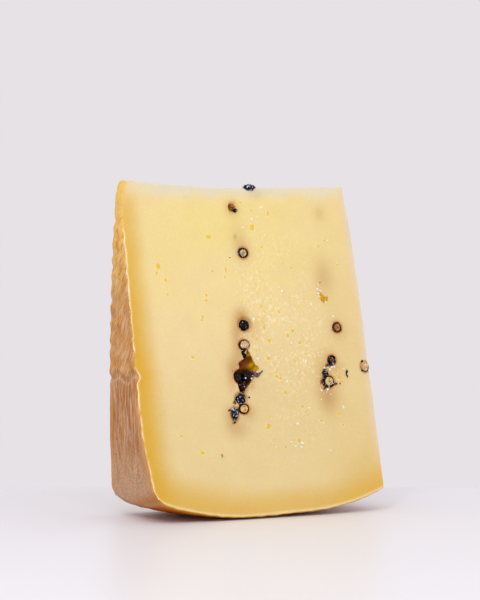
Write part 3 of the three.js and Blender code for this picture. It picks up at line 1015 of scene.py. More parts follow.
def wedge_surface(paste, rind):
    """The whole wedge as one closed sheet.

    A box shell with rounded edges is laid out in millimetres along x, down and across. Its share
    across x runs from the rind face to the cut end, its share down runs from the top edge to the
    rim, and its share through runs from the front cut to the back cut. The relief of each face is
    added along that face's own direction, and what falls below the floor is pressed flat.
    """
    columns = lines(BLOCK_WIDTH, COLUMN_STOPS, COLUMN_GAPS)
    rows = lines(BLOCK_HEIGHT, ROW_STOPS, ROW_GAPS)
    (column, row, layer), quads = box_shell(len(columns) - 1, len(rows) - 1, LAYERS)
    rough_x = lerp(RIND_FACE, CUT_END, columns[column] / BLOCK_WIDTH)
    rough_down = lerp(top_edge(rough_x), rim(rough_x, 0.0), rows[row] / BLOCK_HEIGHT)
    thickness = 2 * opening_at(rough_down)[0]
    through = across_lines(thickness, layer)
    from_rind, from_top = columns[column], rows[row]
    from_end, from_rim = BLOCK_WIDTH - from_rind, BLOCK_HEIGHT - from_top
    block = np.stack([from_rind, from_top, through], -1)
    size = np.stack([from_rind + from_end, from_top + from_rim, thickness], -1)

    radius = lerp(paste.edge_radius, paste.rim_radius, fall(from_rim, *RIM_RADIUS_FROM)) / MM
    radius = radius + CROWN_EDGE * fall(from_rind, *CROWN_EDGE_ACROSS) * fall(from_top, *CROWN_EDGE_DOWN)
    rounded = rounded_block(block, size, np.minimum(radius, thickness * MOST_ROUNDING))
    across, drop, depth = (rounded / size).T
    side = 2 * depth - 1
    y = side * thickness / 2

    # The place along x and the place down depend on each other, so both are worked out twice.
    x = lerp(RIND_FACE, CUT_END, across)
    for _ in range(2):
        down = lerp(top_edge(x), rim(x, side), drop)
        x = lerp(rind_face(down, side, drop, y, rind), cut_end(down), across)
    foot = FOOT_ROUND * hill(np.hypot(from_rind, from_rim), FOOT_ROUND_REACH)
    x = x + foot
    down = lerp(top_edge(x), rim(x, side), drop) - foot
    points = place(x, down, side)

    front, back = near(through), near(thickness - through)
    at_end, at_rim = near(from_end), near(from_rim)
    spots = np.stack([x, down, y], -1)
    front_out = face_directions(x, down, np.full_like(x, -1.0))[2]
    back_out = face_directions(x, down, np.full_like(x, 1.0))[2]
    turn = side * HALF_ANGLE
    radial = stand(np.stack([x, np.sin(turn), -np.cos(turn)], -1)) - stand(np.stack([x, 0 * x, 0 * x], -1))
    points += (front * front_relief(x, down))[:, None] * front_out
    points += (back * BACK_UNEVENNESS * ripple(spots, 14, seed=14))[:, None] * back_out
    points += (at_end * END_UNEVENNESS * ripple(spots, 10, seed=15))[:, None] * AXIS_DIRECTION
    points += (at_rim * RIM_UNEVENNESS * ripple(spots, 5, seed=16))[:, None] * radial

    edges = (front + back) * np.maximum(near(from_rind), at_end + at_rim)
    crumble = FINE_CRUMBLE * ripple(spots, 2.2, seed=17) + COARSE_CRUMBLE * ripple(spots, 5.0, seed=18)
    points += (edges * crumble)[:, None] * (-np.sign(side)[:, None]) * np.array(CRUMBLE_DIRECTION)
    points[:, 2] = np.maximum(points[:, 2], 0.0)

    marks = paste_marks(x, down, spots, from_rind, from_rim, from_top) | corn_marks(x, down)
    for name in ("speckle", "stain", "halo", "hollow"):
        marks[name] = marks[name] * front
    from_cut = np.minimum(through, thickness - through)
    marks |= rind_marks(down, y, spots, from_rind, from_rim, from_cut, front)
    marks |= {"front": front, "spot": spots}
    return points, quads, marks


# ---- Peppercorns and crumbs ----


def turned(across, up, turn):
    """Two directions of a face, turned in the face by an angle."""
    cosine, sine = np.cos(turn), np.sin(turn)
    return across * cosine + up * sine, up * cosine - across * sine


def in_face(local, point, across, up, out, sunk=0.0):
    """Points given across, into and up a face, set at a point that lies sunk below the face."""
    return point - sunk * out + local[..., :1] * across + local[..., 2:] * up - local[..., 1:2] * out


def front_frame(x, down):
    """The point and the three directions of each place on the front cut."""
    x, down = np.asarray(x), np.asarray(down)
    side = np.full_like(x, -1.0)
    return place(x, down, side), *face_directions(x, down, side)


def shaded(tone, points, seed, amount=0.25, wavelength=1.6):
    """The tone at each point, lighter and darker by turns."""
    shade = 1 + amount * np.clip(ripple(points, wavelength, seed), -2, 2)
    return np.array(tone) * shade[:, None]


def whole_corn(frame_at, corn, depth, seed, wrinkle_depth):
    """A wrinkled ball set into a face.

    Each direction of a ball is stretched to the half sizes. Where smooth noise crosses 0 a ridge
    stands: the radius grows by the wrinkle depth times (1 - 1.3 |noise|) to the power 1.4.
    """
    point, across, up, out = frame_at
    ball, quads = unit_ball(WHOLE_CELLS)
    noise = ripple(ball, 1.15, seed, waves=18)
    ridges = np.clip(1 - 1.3 * np.abs(noise), 0, 1) ** 1.4
    fine = ripple(ball, 0.5, seed + 1, waves=14)
    swell = 1 + corn.wrinkle * wrinkle_depth * (ridges - 0.55 + 0.09 * fine) / (corn.wide / 2)
    local = ball * swell[:, None] * (corn.wide / 2, depth, corn.tall / 2)
    local[:, 0] *= 1 - corn.taper * smoothstep(-ball[:, 2], -0.4, 1.0)
    across, up = turned(across, up, math.radians(corn.turn))
    points = in_face(local, point, across, up, out, depth - corn.proud)
    worn = corn.worn * smoothstep(ripple(points, 1.5, seed + 3), 0.3, 1.0)
    tones = lerp(np.array(corn.tone), np.array(RED_BROWN), worn[:, None])
    tones = shaded(tones, points, seed + 2) * (0.55 + 0.75 * ridges)[:, None]
    return new_shape(points, quads, tones, corn.dust)


def cut_corn(frame_at, corn, seed):
    """A ball with its near side sliced off, showing a heart inside a ring of skin.

    The angle from the slice's middle gives a radius and a height by a profile: flat across the
    heart, a groove, a raised ring of skin, then a round bottom.
    """
    ball, quads = unit_ball(CUT_CELLS)
    angle = np.arccos(np.clip(-ball[:, 1], -1, 1)) / math.pi
    around = ball[:, [0, 2]]
    around /= np.maximum(np.linalg.norm(around, axis=-1, keepdims=True), 1e-9)
    share = corn.heart_share
    ring = corn.proud * 0.75
    stops = (0.0, 0.34, 0.37, 0.42, 0.47, 0.52, 0.62, 1.0)
    radii = (0.0, share, share + 0.03, (share + 1) / 2, 0.97, 1.02, 0.9, 0.0)
    heights = (ring * 0.6, ring * 0.6, ring * 0.2, ring + 0.12, ring * 0.7, -0.35, -1.0, -1.8)
    radius = np.interp(angle, stops, radii)
    height = np.interp(angle, stops, heights)
    heart = fall(angle, 0.335, 0.36)
    skin = smoothstep(angle, 0.36, 0.4)
    lumpy = 1 + 0.05 * skin * ripple(around, 1.6, seed, waves=12)
    flat = around * (radius * lumpy)[:, None]
    pull = np.clip(1 - np.abs(radius) ** 3, 0, 1)[:, None] * np.array((corn.shift_x, -corn.shift_down))
    flat = flat * (corn.wide / 2, corn.tall / 2) + pull
    grain = 0.06 * ripple(flat, 0.75, seed + 1) * heart
    hollow = corn.hollow * hill(np.linalg.norm(flat - pull - HOLLOW_PLACE, axis=-1), HOLLOW_WIDTH) * heart
    height = height + grain - hollow + 0.07 * skin * ripple(np.column_stack([flat, height]), 0.9, seed + 2)
    points = in_face(np.column_stack([flat[:, 0], -height, flat[:, 1]]), *frame_at)
    hearts = shaded(corn.heart, points, seed + 3, 0.24)
    hearts = lerp(hearts, np.array(ORANGE_BROWN), 0.7 * np.clip(hollow * 2.2, 0, 1)[:, None])
    hearts = shaded(hearts, flat, seed + 5, 0.2, 0.6)
    skins = shaded(corn.skin, points, seed + 4)
    if corn.top:
        skins = lerp(skins, np.array(corn.top), smoothstep(around[:, 1:], -0.7, 0.5))
    return new_shape(points, quads, lerp(skins, hearts, heart[:, None]), corn.dust * (1 - heart))


def fragment(frame_at, bit, seed):
    """A broken bit: a small ball with a coarse uneven radius, narrowed towards its foot."""
    point, across, up, out = frame_at
    ball, quads = unit_ball(BIT_CELLS)
    swell = 1 + 0.16 * ripple(ball, 1.1, seed, waves=10) + 0.06 * ripple(ball, 0.5, seed + 1, waves=10)
    depth = max(0.5, min(bit.wide, bit.tall) / 2)
    local = ball * swell[:, None] * (bit.wide / 2, depth, bit.tall / 2)
    local[:, 0] *= 1 - bit.taper * smoothstep(-ball[:, 2], -0.6, 1.0)
    local[:, 0] += bit.taper * 0.25 * bit.wide * smoothstep(-ball[:, 2], -0.4, 1.0)
    across, up = turned(across, up, math.radians(bit.turn))
    points = in_face(local, point, across, up, out, depth - bit.proud)
    return new_shape(points, quads, shaded(bit.tone, points, seed + 2, 0.3), BIT_DUST_AND_GLINT)


def curled_shell():
    """The curled bit of skin: a round section carried along an arc that ends in a flick outwards."""
    rod, quads = unit_rod(SHELL_STEPS, SHELL_CELLS)
    share = rod[:, 0]
    angle = np.radians(lerp(SHELL_FROM, SHELL_TO, share))
    reach = SHELL_RADIUS + SHELL_FLICK * smoothstep(share, 0.78, 1.0)
    x = SHELL_MIDDLE[0] + reach * np.cos(angle)
    down = SHELL_MIDDLE[1] + reach * np.sin(angle)
    thickness = SHELL_THICKNESS * (1 - 0.6 * smoothstep(share, 0.5, 0.9))
    thickness = thickness * np.sqrt(np.clip(1 - (2 * share - 1) ** 10, 0.02, 1))
    thickness = thickness * (1 + 0.12 * ripple(rod * (8, 1, 1), 3.0, seed=41))
    point, across, up, out = front_frame(x, down)
    outward = turned(across, up, -angle[:, None])[0]
    points = point + (SHELL_LIFT + rod[:, 1] * thickness * SHELL_SECTION[0])[:, None] * out
    points += (rod[:, 2] * thickness * SHELL_SECTION[1])[:, None] * outward
    return new_shape(points, quads, shaded(PURPLE_BROWN, points, 43, 0.3), BIT_DUST_AND_GLINT)


def seeded_numbers(seed):
    """Repeatable numbers from 0 to 1, the same as the solid's."""
    multiplier, modulus = 48271, 2147483647
    state = seed
    while True:
        state = state * multiplier % modulus
        yield state / modulus


def unseen_corns():
    """Places of the peppercorns on the back cut and on the cut end, drawn in the solid's order."""
    draw = seeded_numbers(SEED)
    back = []
    for middle in LAYER_MIDDLES:
        for i in range(BACK_PER_LAYER):
            down = lerp(BACK_FROM, BACK_TO, (i + next(draw)) / BACK_PER_LAYER)
            size = CORN_SIZE + CORN_SIZE_SPREAD * (2 * next(draw) - 1)
            x = middle + LAYER_SLANT * down + CORN_SCATTER * (2 * next(draw) - 1)
            back.append((x, down, size, CORN_PROUD[i % 2]))
    end = []
    for i in range(END_CORNS):
        down = lerp(END_FROM, END_TO, (i + next(draw)) / END_CORNS)
        side = 1.2 * next(draw) - 0.6
        size = CORN_SIZE + CORN_SIZE_SPREAD * (2 * next(draw) - 1)
        end.append((side, down, size, CORN_PROUD[i % 2]))
    return back, end


def unseen_frames():
    """Each unseen peppercorn's size, how proud it is, and its point and directions."""
    back, end = unseen_corns()
    frames = []
    for x, down, size, proud in back:
        spot = (np.array(x), np.array(down), np.array(1.0))
        frames.append((size, proud, (place(*spot), *face_directions(*spot))))
    for side, down, size, proud in end:
        frames.append((size, proud, (place(cut_end(down), down, side), SIDEWAYS, END_UP, AXIS_DIRECTION)))
    return frames


def whole_corns(settings):
    """Every whole peppercorn: those of the front cut, the one on the top edge and the unseen ones."""
    wrinkle = settings.wrinkle_depth / MM
    shapes = []
    for i, corn in enumerate(FRONT_WHOLE):
        depth = 0.42 * (corn.wide + min(corn.wide, corn.tall)) / 2 + 0.5
        shapes.append(whole_corn(front_frame(corn.x, corn.down), corn, depth, 100 + 7 * i, wrinkle))
    bead = TOP_EDGE_CORN._replace(proud=TOP_EDGE_CORN.proud / 2)
    edge = (place(bead.x, bead.down, 0.0), AXIS_DIRECTION, END_UP, -SIDEWAYS)
    shapes.append(whole_corn(edge, bead, bead.proud, 90, wrinkle))
    for i, (size, proud, frame_at) in enumerate(unseen_frames()):
        if proud == CORN_PROUD[1]:
            corn = Whole(0, 0, size, size, proud, UNSEEN_SKINS[i % len(UNSEEN_SKINS)], turn=40 * i)
            shapes.append(whole_corn(frame_at, corn, size * 0.45, 200 + 7 * i, wrinkle))
    return joined(shapes)


def cut_corns():
    """Every peppercorn that a cut went through."""
    shapes = [
        cut_corn(front_frame(corn.x, corn.down), corn, 300 + 7 * i) for i, corn in enumerate(FRONT_CUT)
    ]
    for i, (size, proud, frame_at) in enumerate(unseen_frames()):
        if proud == CORN_PROUD[0]:
            corn = Cut(0, 0, size, size, proud, BROWN_BLACK, UNSEEN_HEARTS[i % len(UNSEEN_HEARTS)])
            shapes.append(cut_corn(frame_at, corn, 400 + 7 * i))
    return joined(shapes)


def broken_corns():
    """The fragments on the front cut, with the curled shell and the white bits of painted highlight."""
    bits = [fragment(front_frame(bit.x, bit.down), bit, 500 + 7 * i) for i, bit in enumerate(FRONT_BITS)]
    return joined([curled_shell(), *bits])


def crumbs(x, down, size, tones, seed):
    """Many small uneven flakes on the front cut, a few dozen faces each, all worked out at once.

    Each is a ball, with a random radius at every point, stretched unevenly, flattened and turned.
    """
    ball, quads = unit_ball(CRUMB_CELLS)
    random = np.random.default_rng(seed)
    swell = 1 + 0.45 * random.uniform(-1, 1, (len(x), len(ball), 1))
    stretch = random.uniform(0.5, 1.4, (len(x), 1, 3)) * (1, 0.25, 1)
    local = ball[None] * swell * stretch * (size / 2)[:, None, None]
    turn = random.uniform(0, math.pi, (len(x), 1, 1))
    point, across, up, out = (vectors[:, None] for vectors in front_frame(x, down))
    points = in_face(local, point, *turned(across, up, turn), out)
    starts = len(ball) * np.arange(len(x))[:, None, None]
    quads = (quads[None] + starts).reshape(-1, 4)
    return new_shape(points.reshape(-1, 3), quads, np.repeat(tones, len(ball), 0), 0.0)


def white_crumbs():
    """Pale crumbs: the ones that lie apart, and a scatter that is thickest in the middle."""
    random = np.random.default_rng(CRUMB_SEED)
    apart = np.array(WHITE_BITS).T
    x = np.concatenate([apart[0], random.normal(27, 12, SCATTERED_WHITE)])
    down = np.concatenate([apart[1], random.normal(70, 32, SCATTERED_WHITE)])
    size = np.concatenate([1.2 * apart[2], 0.25 + random.exponential(0.2, SCATTERED_WHITE)])
    kept = (x > -6) & (x < 60) & (down > 6) & (down < 128)
    kept &= outline_distance(x, down, GAP_OUTLINE) < -0.5
    return crumbs(x[kept], down[kept], size[kept], np.ones((kept.sum(), 3)), CRUMB_SEED)


def dark_crumbs():
    """Specks of skin round the peppercorns."""
    random = np.random.default_rng(CRUMB_SEED + 1)
    corns = FRONT_WHOLE + FRONT_CUT
    near = np.array([(corn.x, corn.down) for corn in corns])[random.integers(0, len(corns), SCATTERED_DARK)]
    angle = random.uniform(0, 2 * math.pi, SCATTERED_DARK)
    away = 2.5 + random.exponential(0.6, SCATTERED_DARK)
    x = near[:, 0] + away * np.cos(angle)
    down = near[:, 1] + away * np.sin(angle)
    size = random.uniform(0.15, 0.45, SCATTERED_DARK)
    kept = (x < 64) & (outline_distance(x, down, GAP_OUTLINE) < -0.3)
    tones = np.tile(np.array(RED_BROWN), (kept.sum(), 1)) * random.uniform(0.3, 1.1, (kept.sum(), 1))
    return crumbs(x[kept], down[kept], size[kept], tones, CRUMB_SEED + 1)


# ---- Materials ----


class Link:
    """The value of a socket. Arithmetic on it adds Math nodes to its material."""

    def __init__(self, finish, socket):
        self.finish = finish
        self.socket = socket

    def __add__(self, other):
        return self.finish.math("ADD", self, other)

    def __sub__(self, other):
        return self.finish.math("SUBTRACT", self, other)

    def __rsub__(self, other):
        return self.finish.math("SUBTRACT", other, self)

    def __mul__(self, other):
        return self.finish.math("MULTIPLY", self, other)

    def __pow__(self, other):
        return self.finish.math("POWER", self, other)

    __radd__ = __add__
    __rmul__ = __mul__


class Finish:
    """A material, and what adds nodes to it."""

    def __init__(self, name):
        self.material = bpy.data.materials.new(name)
        self.material.use_nodes = True
        self.tree = self.material.node_tree
        self.tree.nodes.clear()
        metres = self.node("ShaderNodeTexCoord", output="Object")
        self.position = self.shade(metres, 1 / MM)

    def node(self, kind, settings=None, inputs=None, output=0):
        """Adds a node with its settings and inputs, and returns one output as a Link."""
        added = self.tree.nodes.new(kind)
        for name, value in (settings or {}).items():
            setattr(added, name, value)
        for key, value in (inputs or {}).items():
            socket = added.inputs[key]
            if isinstance(value, Link):
                self.tree.links.new(value.socket, socket)
            elif socket.type == "RGBA":
                socket.default_value = (*value, 1.0)
            else:
                socket.default_value = value
        return Link(self, added.outputs[output])

    def math(self, operation, *values):
        """A Math node of numbers or links."""
        return self.node("ShaderNodeMath", {"operation": operation}, dict(enumerate(values)))

    def attribute(self, name, output="Fac"):
        """One of the piece's own attributes."""
        return self.node("ShaderNodeAttribute", {"attribute_name": name}, output=output)

    def rise(self, value, low, high):
        """A smooth rise of a value from 0 at low to 1 at high."""
        settings = {"interpolation_type": "SMOOTHSTEP"}
        return self.node("ShaderNodeMapRange", settings, {0: value, 1: low, 2: high})

    def fall(self, value, low, high):
        """A smooth fall of a value from 1 at low to 0 at high."""
        return 1 - self.rise(value, low, high)

    def mix(self, factor, first, second):
        """The first colour where the factor is 0 and the second where it is 1."""
        inputs = {0: factor, 6: first, 7: second}
        return self.node("ShaderNodeMix", {"data_type": "RGBA"}, inputs, output=2)

    def coated(self, base, coats):
        """The base colour under coats of colour, each a factor and a colour, the last on top."""
        for factor, coat in coats:
            base = self.mix(factor, base, coat)
        return base

    def shade(self, colours, factor):
        """A colour or a place, multiplied by a factor."""
        return self.node("ShaderNodeVectorMath", {"operation": "SCALE"}, {0: colours, "Scale": factor})

    def noise(self, size, detail=2.0, vector=None):
        """Cloudy noise from 0 to 1, whose features are about size millimetres."""
        inputs = {"Vector": vector or self.position, "Scale": 1 / size, "Detail": detail}
        return self.node("ShaderNodeTexNoise", inputs=inputs)

    def streaks(self, detail, turn, *sizes):
        """Noise drawn out to a size along each axis, once the place is turned about X by degrees."""
        inputs = {"Vector": self.position, "Rotation": (math.radians(turn), 0.0, 0.0), "Scale": sizes}
        return self.noise(1.0, detail, self.node("ShaderNodeMapping", {"vector_type": "TEXTURE"}, inputs))

    def surface(self, inputs, height=None, relief=0.0, crisp=None, changes=None):
        """Ends the material in a Principled BSDF, with a bump of so many millimetres.

        Where crisp is 1 a second one takes its place, whose inputs have the changes.
        """
        if height is not None:
            bump = {"Height": height, "Distance": relief * MM}
            inputs = {**inputs, "Normal": self.node("ShaderNodeBump", inputs=bump)}
        shader = self.node("ShaderNodeBsdfPrincipled", inputs=inputs)
        if crisp is not None:
            second = self.node("ShaderNodeBsdfPrincipled", inputs={**inputs, **changes})
            shader = self.node("ShaderNodeMixShader", inputs={0: crisp, 1: shader, 2: second})
        end = self.tree.nodes.new("ShaderNodeOutputMaterial")
        self.tree.links.new(shader.socket, end.inputs["Surface"])
        return self.material


def pit_share(finish):
    """1 inside the small pits of the front cut: the nearest pit's distance in its own half sizes."""
    spot = finish.attribute("spot", "Vector")
    nearest = None
    for x, down, width, tall in PITS:
        scale = (2 / width, 2 / tall, 0.0)
        offset = (-x * scale[0], -down * scale[1], 0.0)
        inputs = {0: spot, 1: scale, 2: offset}
        local = finish.node("ShaderNodeVectorMath", {"operation": "MULTIPLY_ADD"}, inputs)
        distance = finish.node("ShaderNodeVectorMath", {"operation": "LENGTH"}, {0: local}, output="Value")
        nearest = distance if nearest is None else finish.math("MINIMUM", nearest, distance)
    wavy = nearest + (finish.noise(1.2) - 0.5) * 0.9
    front = finish.attribute("front")
    lip = finish.rise(wavy, 1.0, 1.3) * finish.fall(wavy, 1.3, 2.0)
    return finish.fall(wavy, 0.8, 1.2) * front, lip * front


def paste_colour(finish, paste, mottle, grain):
    """The cut faces' colour, and where their hollows and pits lie."""
    speckle = finish.attribute("speckle") * SPECKLE_STRENGTH
    clots = finish.streaks(2.0, 0.0, 1.4, 1.4, 1.6)
    glow = finish.attribute("glow") * finish.rise(grain, 0.25, 0.55)
    hollow = finish.rise(finish.attribute("hollow") + (grain - 0.5) * 0.9, 0.3, 0.7)
    inside, lip = pit_share(finish)
    inside = inside * 0.9
    # The top edge's and the cut end's tones are painted light coming through the thin paste.
    tones = ("golden", "low", "blush", "band", "strip", "end")
    coats = [(finish.attribute(tone), getattr(paste, tone)) for tone in tones]
    coats += [
        (finish.rise(clots, 0.52, 0.7) * speckle, paste.pale),
        (finish.fall(clots, 0.28, 0.42) * speckle, paste.pit),
        (finish.attribute("stain") * (0.8 + mottle * 0.4), paste.stain),
        (finish.attribute("halo") ** 2 * (0.6 + grain * 0.4), paste.halo),
        (hollow, finish.mix(glow, paste.hollow, paste.amber)),
        (inside, paste.pit),
        (lip * finish.rise(grain, 0.45, 0.6) * 0.5, paste.pale),
        # Pale frayed edges, partly painted highlights where the edges catch light.
        (finish.attribute("burr") * (0.5 + grain), paste.pale),
    ]
    # The paste is darkened at the very top edge: painted shade.
    shade = 0.92 + mottle * 0.06 + grain * 0.1 - finish.attribute("topmost") * 0.08
    return finish.shade(finish.coated(paste.paste, coats), shade), finish.math("MAXIMUM", hollow, inside)


def rind_colour(finish, rind, mottle, grain, down):
    """The rind's colour and the height of its strokes.

    Strokes, and finer fibres, run slantwise above the crease and straight down below it.
    """
    below = finish.attribute("below")
    speck = finish.noise(0.8, 2.0)
    patches = finish.streaks(3.0, 12.0, 9.0, 3.0, 6.0)
    strokes = lerp(finish.streaks(3.0, 32.0, 9.0, 0.9, 4.5), finish.streaks(4.0, 4.0, 9.0, 0.8, 8.0), below)
    strokes = strokes * 0.72 + speck * 0.28
    fibres = lerp(finish.streaks(2.0, 36.0, 9.0, 0.7, 6.0), finish.streaks(2.0, 3.0, 9.0, 0.6, 14.0), below)
    fine_dark = finish.fall(finish.math("ABSOLUTE", fibres - 0.46), 0.0, 0.05)
    fine_pale = finish.rise(fibres, 0.56, 0.62)
    foot = finish.rise(down, 104.0, 130.0)
    contrast = (1 - foot * 0.7) * finish.rise(down, -4.0, 30.0) * (0.6 + below * 0.4)
    # The rim's underside, deep orange: partly painted light, standing for light coming through the cheese.
    under = finish.attribute("under") * (0.8 + grain * 0.4)
    coats = (
        (finish.rise(down, 32.0, 56.0), rind.middle),
        (finish.fall(down, 2.0, 24.0), rind.crown),
        (below, rind.low),
        (finish.rise(down, 104.0, 134.0), rind.foot),
        # Painted light: the rounded foot is made paler low down, where its shading turns dark.
        (finish.rise(down, 130.0, 144.0) * 0.5, rind.bloom_and_highlight),
        (finish.rise(speck, 0.5, 0.64) * foot * 0.5, rind.bloom_and_highlight),
        (finish.fall(speck, 0.34, 0.48) * foot * 0.35, rind.groove),
        (finish.rise(patches, 0.5, 0.64) * contrast * 0.65, rind.ochre),
        (finish.fall(patches, 0.32, 0.5) * contrast * 0.35, rind.bloom_and_highlight),
        # The raised strokes are painted paler and the grooves darker: partly the rind's own streaks, partly
        # painted highlight and shade.
        (finish.rise(strokes, 0.5, 0.66) * contrast * 0.45, rind.bloom_and_highlight),
        (finish.fall(strokes, 0.34, 0.48) * contrast * 0.35, rind.groove),
        (fine_dark * contrast * 0.8, rind.groove),
        (fine_pale * contrast * 0.75, rind.bloom_and_highlight),
        (finish.attribute("crease") * 0.35, rind.groove),
        (finish.attribute("fold") * 0.45, rind.bloom_and_highlight),
        (finish.attribute("near_cut") * 0.6, rind.side),
        # Painted shade at the foot's lowest front corner.
        (finish.attribute("heel") * 0.75, rind.heel),
        (finish.attribute("rim"), finish.mix(under, rind.rim, rind.under)),
    )
    height = strokes + (fine_pale - fine_dark) * 0.2
    return finish.shade(finish.coated(rind.rind, coats), 0.88 + mottle * 0.24), height


def cheese_finish(paste, rind):
    """Paste on the cut faces and rind on the others, told apart by the wedge's attributes.

    Light spreads inside the paste, but not in the rind, the hollows and the pits.
    """
    finish = Finish("Cheese paste and rind")
    mottle = finish.noise(9.0, 3.0)
    grain = finish.noise(0.9, 3.0)
    smear = finish.streaks(2.0, 0.0, 7.0, 7.0, 1.6)
    down = finish.node("ShaderNodeSeparateXYZ", inputs={0: finish.attribute("spot", "Vector")}, output="Y")
    body, sunk = paste_colour(finish, paste, mottle, grain)
    crust, strokes = rind_colour(finish, rind, mottle, grain, down)
    share = finish.attribute("rind")
    edge = lerp(finish.rise(share + (grain - 0.5) * 0.5, 0.4, 0.6), share, finish.fall(down, 4.0, 22.0))
    return finish.surface(
        {
            "Base Color": finish.mix(edge, body, crust),
            "Roughness": 0.42 + grain * 0.1 + edge * 0.14,
            "Subsurface Weight": 0.75,
            "Subsurface Radius": GLOW_RADII,
            "Subsurface Scale": paste.glow_depth,
            "IOR": 1.45,
        },
        height=lerp(grain * 0.35 + smear * 0.3, strokes, edge),
        relief=PASTE_RELIEF,
        crisp=finish.math("MAXIMUM", edge * 0.95, sunk),
        changes={"Subsurface Weight": 0.0, "Specular IOR Level": 0.1},
    )


def peppercorn_finish(settings):
    """Dry wrinkled skin and pale hearts in the piece's own tones, with pale flecks partly painted as
    highlights.
    """
    finish = Finish("Peppercorn")
    fine = finish.noise(0.5, 3.0)
    patches = finish.noise(1.3, 2.0)
    dust = finish.attribute("dust")
    # The pale flecks are partly dusty and partly painted highlights, where light glints on the skin.
    flecks = finish.rise(finish.noise(0.8, 2.0) + dust * 0.12, 0.66, 0.71) * finish.rise(patches, 0.36, 0.5)
    base = finish.mix(flecks * finish.rise(dust, 0.0, 0.2), finish.attribute("tone", "Color"), settings.dust)
    base = finish.shade(base, 0.5 + fine)
    inputs = {"Base Color": base, "Roughness": 0.12 + patches * 0.2, "Specular IOR Level": 0.1}
    return finish.surface(inputs, fine, SKIN_RELIEF)


def crumb_finish(paste):
    """Dry pale crumbs."""
    finish = Finish("Cheese crumb")
    grain = finish.noise(0.4)
    base = finish.mix(grain, paste.pale, paste.crumb)
    return finish.surface({"Base Color": base, "Roughness": 0.6 + grain * 0.1})


def floor_finish(stage):
    """A pale floor, slightly glossy and faintly uneven."""
    finish = Finish("Pale floor")
    cloud = finish.noise(120.0, 2.0)
    base = finish.shade(stage.floor, 0.985 + cloud * 0.03)
    return finish.surface({"Base Color": base, "Roughness": 0.34 + cloud * 0.06, "Specular IOR Level": 0.25})


# ---- Operators ----


def add_corns(context, name, shape):
    """Makes a piece of peppercorn shapes, which all share one material."""
    material = bpy.data.materials.get("Peppercorn") or peppercorn_finish(context.scene.pecorino_peppercorn)
    attributes = {"tone": shape.tones, "dust": shape.dust}
    new_piece(name, *shape[:2], material, "peppercorn", attributes)


class PECORINO_OT_wedge(bpy.types.Operator):
    """Build the wedge's paste and rind"""

    bl_idname = "pecorino.wedge"
    bl_label = "Wedge"

    def execute(self, context):
        paste, rind = context.scene.pecorino_paste, context.scene.pecorino_rind
        points, quads, marks = wedge_surface(paste, rind)
        new_piece("wedge", points, quads, cheese_finish(paste, rind), "paste", marks)
        return {"FINISHED"}


class PECORINO_OT_whole_corns(bpy.types.Operator):
    """Build the whole peppercorns"""

    bl_idname = "pecorino.whole_corns"
    bl_label = "Whole Peppercorns"

    def execute(self, context):
        add_corns(context, "whole_peppercorns", whole_corns(context.scene.pecorino_peppercorn))
        return {"FINISHED"}


class PECORINO_OT_cut_corns(bpy.types.Operator):
    """Build the peppercorns that the cuts went through"""

    bl_idname = "pecorino.cut_corns"
    bl_label = "Cut Peppercorns"

    def execute(self, context):
        add_corns(context, "cut_peppercorns", cut_corns())
        return {"FINISHED"}


class PECORINO_OT_broken_corns(bpy.types.Operator):
    """Build the fragments of peppercorn, the white bits of painted highlight, and the specks round them"""

    bl_idname = "pecorino.broken_corns"
    bl_label = "Broken Peppercorns"

    def execute(self, context):
        add_corns(context, "broken_peppercorns", broken_corns())
        add_corns(context, "peppercorn_specks", dark_crumbs())
        return {"FINISHED"}


class PECORINO_OT_crumbs(bpy.types.Operator):
    """Build the pale crumbs on the front cut"""

    bl_idname = "pecorino.crumbs"
    bl_label = "Crumbs"

    def execute(self, context):
        material = crumb_finish(context.scene.pecorino_paste)
        new_piece("cheese_crumbs", *white_crumbs()[:2], material, "paste", {})
        return {"FINISHED"}


class PECORINO_OT_stage(bpy.types.Operator):
    """Build the floor, the light and the camera"""

    bl_idname = "pecorino.stage"
    bl_label = "Stage"

    def execute(self, context):
        scene, stage = context.scene, context.scene.pecorino_stage
        cosine, sine = math.cos(stage.camera_azimuth), math.sin(stage.camera_azimuth)
        # The view's own directions, forward, right and up.
        view = np.array(((-sine, cosine, 0.0), (cosine, sine, 0.0), (0.0, 0.0, 1.0)))
        add_floor(stage, view)
        add_camera(scene, stage, view)
        for name, light in LIGHTS.items():
            add_light(name, light, getattr(stage, name + "_power"), view)
        world = bpy.data.worlds.new("wall light")
        world.use_nodes = True
        world.node_tree.nodes["Background"].inputs["Color"].default_value = (*stage.wall, 1.0)
        scene.world = world
        scene.view_settings.view_transform = "Standard"
        return {"FINISHED"}


def add_floor(stage, view):
    """A level rectangle. Its far edge is square to the view, and the wall's light begins there."""
    share = np.linspace(0, 1, FLOOR_LINES)
    depth = lerp(-FLOOR_REACH, stage.floor_depth, share)
    width = lerp(-FLOOR_REACH, FLOOR_REACH, share)
    points = depth[:, None, None] * view[0] + width[None, :, None] * view[1]
    number = np.arange(share.size**2).reshape(share.size, share.size)
    mesh = bpy.data.meshes.new("floor")
    mesh.from_pydata(points.reshape(-1, 3).tolist(), [], sheet_quads(number)[:, ::-1].tolist())
    mesh.materials.append(floor_finish(stage))
    add_object("floor", mesh)


def add_camera(scene, stage, view):
    """A level camera in front of the wedge."""
    camera = add_object("camera", bpy.data.cameras.new("camera"))
    camera.data.lens = stage.lens
    camera.data.sensor_width = SENSOR_WIDTH
    camera.location = stage.camera_height * view[2] - stage.camera_distance * view[0]
    camera.rotation_euler = (math.pi / 2, 0.0, stage.camera_azimuth)
    scene.camera = camera


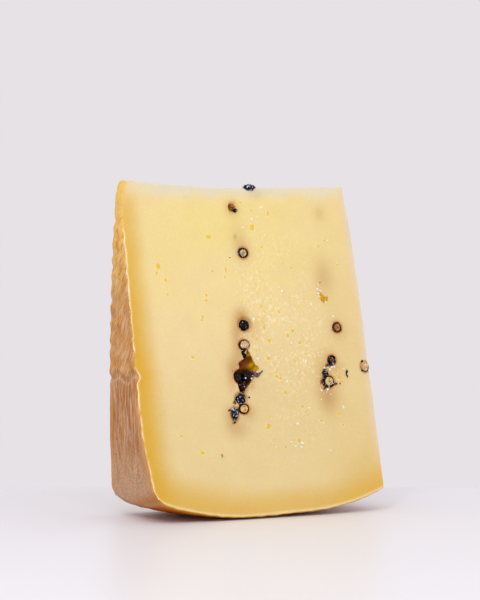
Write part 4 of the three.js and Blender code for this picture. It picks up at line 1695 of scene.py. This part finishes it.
def add_light(name, light, power, view):
    """A square area light that faces the middle of the wedge."""
    lamp = add_object(name, bpy.data.lights.new(name, "AREA"))
    lamp.data.shape = "SQUARE"
    lamp.data.size = light.side
    lamp.data.energy = power
    point = np.array(light[:3]) @ view
    back = point - LIGHT_TARGET * view[2]
    back /= np.linalg.norm(back)
    lamp.location = point
    lamp.rotation_euler = (math.acos(back[2]), 0.0, math.atan2(back[1], back[0]) + math.pi / 2)


class PECORINO_PT_panel(bpy.types.Panel):
    """Buttons and settings for the wedge"""

    bl_idname = "PECORINO_PT_panel"
    bl_label = "Peppered Pecorino"
    bl_space_type = "VIEW_3D"
    bl_region_type = "UI"
    bl_category = "Pecorino"

    def draw(self, context):
        for operator in OPERATORS:
            self.layout.operator(operator.bl_idname)
        for name in SETTINGS:
            box = self.layout.box()
            settings = getattr(context.scene, name)
            for key in settings.bl_rna.properties.keys():
                if key not in ("rna_type", "name"):
                    box.prop(settings, key)


OPERATORS = (
    PECORINO_OT_wedge,
    PECORINO_OT_whole_corns,
    PECORINO_OT_cut_corns,
    PECORINO_OT_broken_corns,
    PECORINO_OT_crumbs,
    PECORINO_OT_stage,
)
SETTINGS = {
    "pecorino_paste": PasteSettings,
    "pecorino_rind": RindSettings,
    "pecorino_peppercorn": PeppercornSettings,
    "pecorino_stage": StageSettings,
}


def register():
    """Registers the settings, the operators and the panel."""
    for name, group in SETTINGS.items():
        bpy.utils.register_class(group)
        setattr(bpy.types.Scene, name, PointerProperty(type=group))
    for operator in OPERATORS:
        bpy.utils.register_class(operator)
    bpy.utils.register_class(PECORINO_PT_panel)


def unregister():
    """Removes what register adds."""
    bpy.utils.unregister_class(PECORINO_PT_panel)
    for operator in reversed(OPERATORS):
        bpy.utils.unregister_class(operator)
    for name, group in SETTINGS.items():
        delattr(bpy.types.Scene, name)
        bpy.utils.unregister_class(group)


def main():
    """Builds every piece."""
    register()
    bpy.ops.pecorino.wedge()
    bpy.ops.pecorino.whole_corns()
    bpy.ops.pecorino.cut_corns()
    bpy.ops.pecorino.broken_corns()
    bpy.ops.pecorino.crumbs()
    bpy.ops.pecorino.stage()


if __name__ == "__main__":
    main()
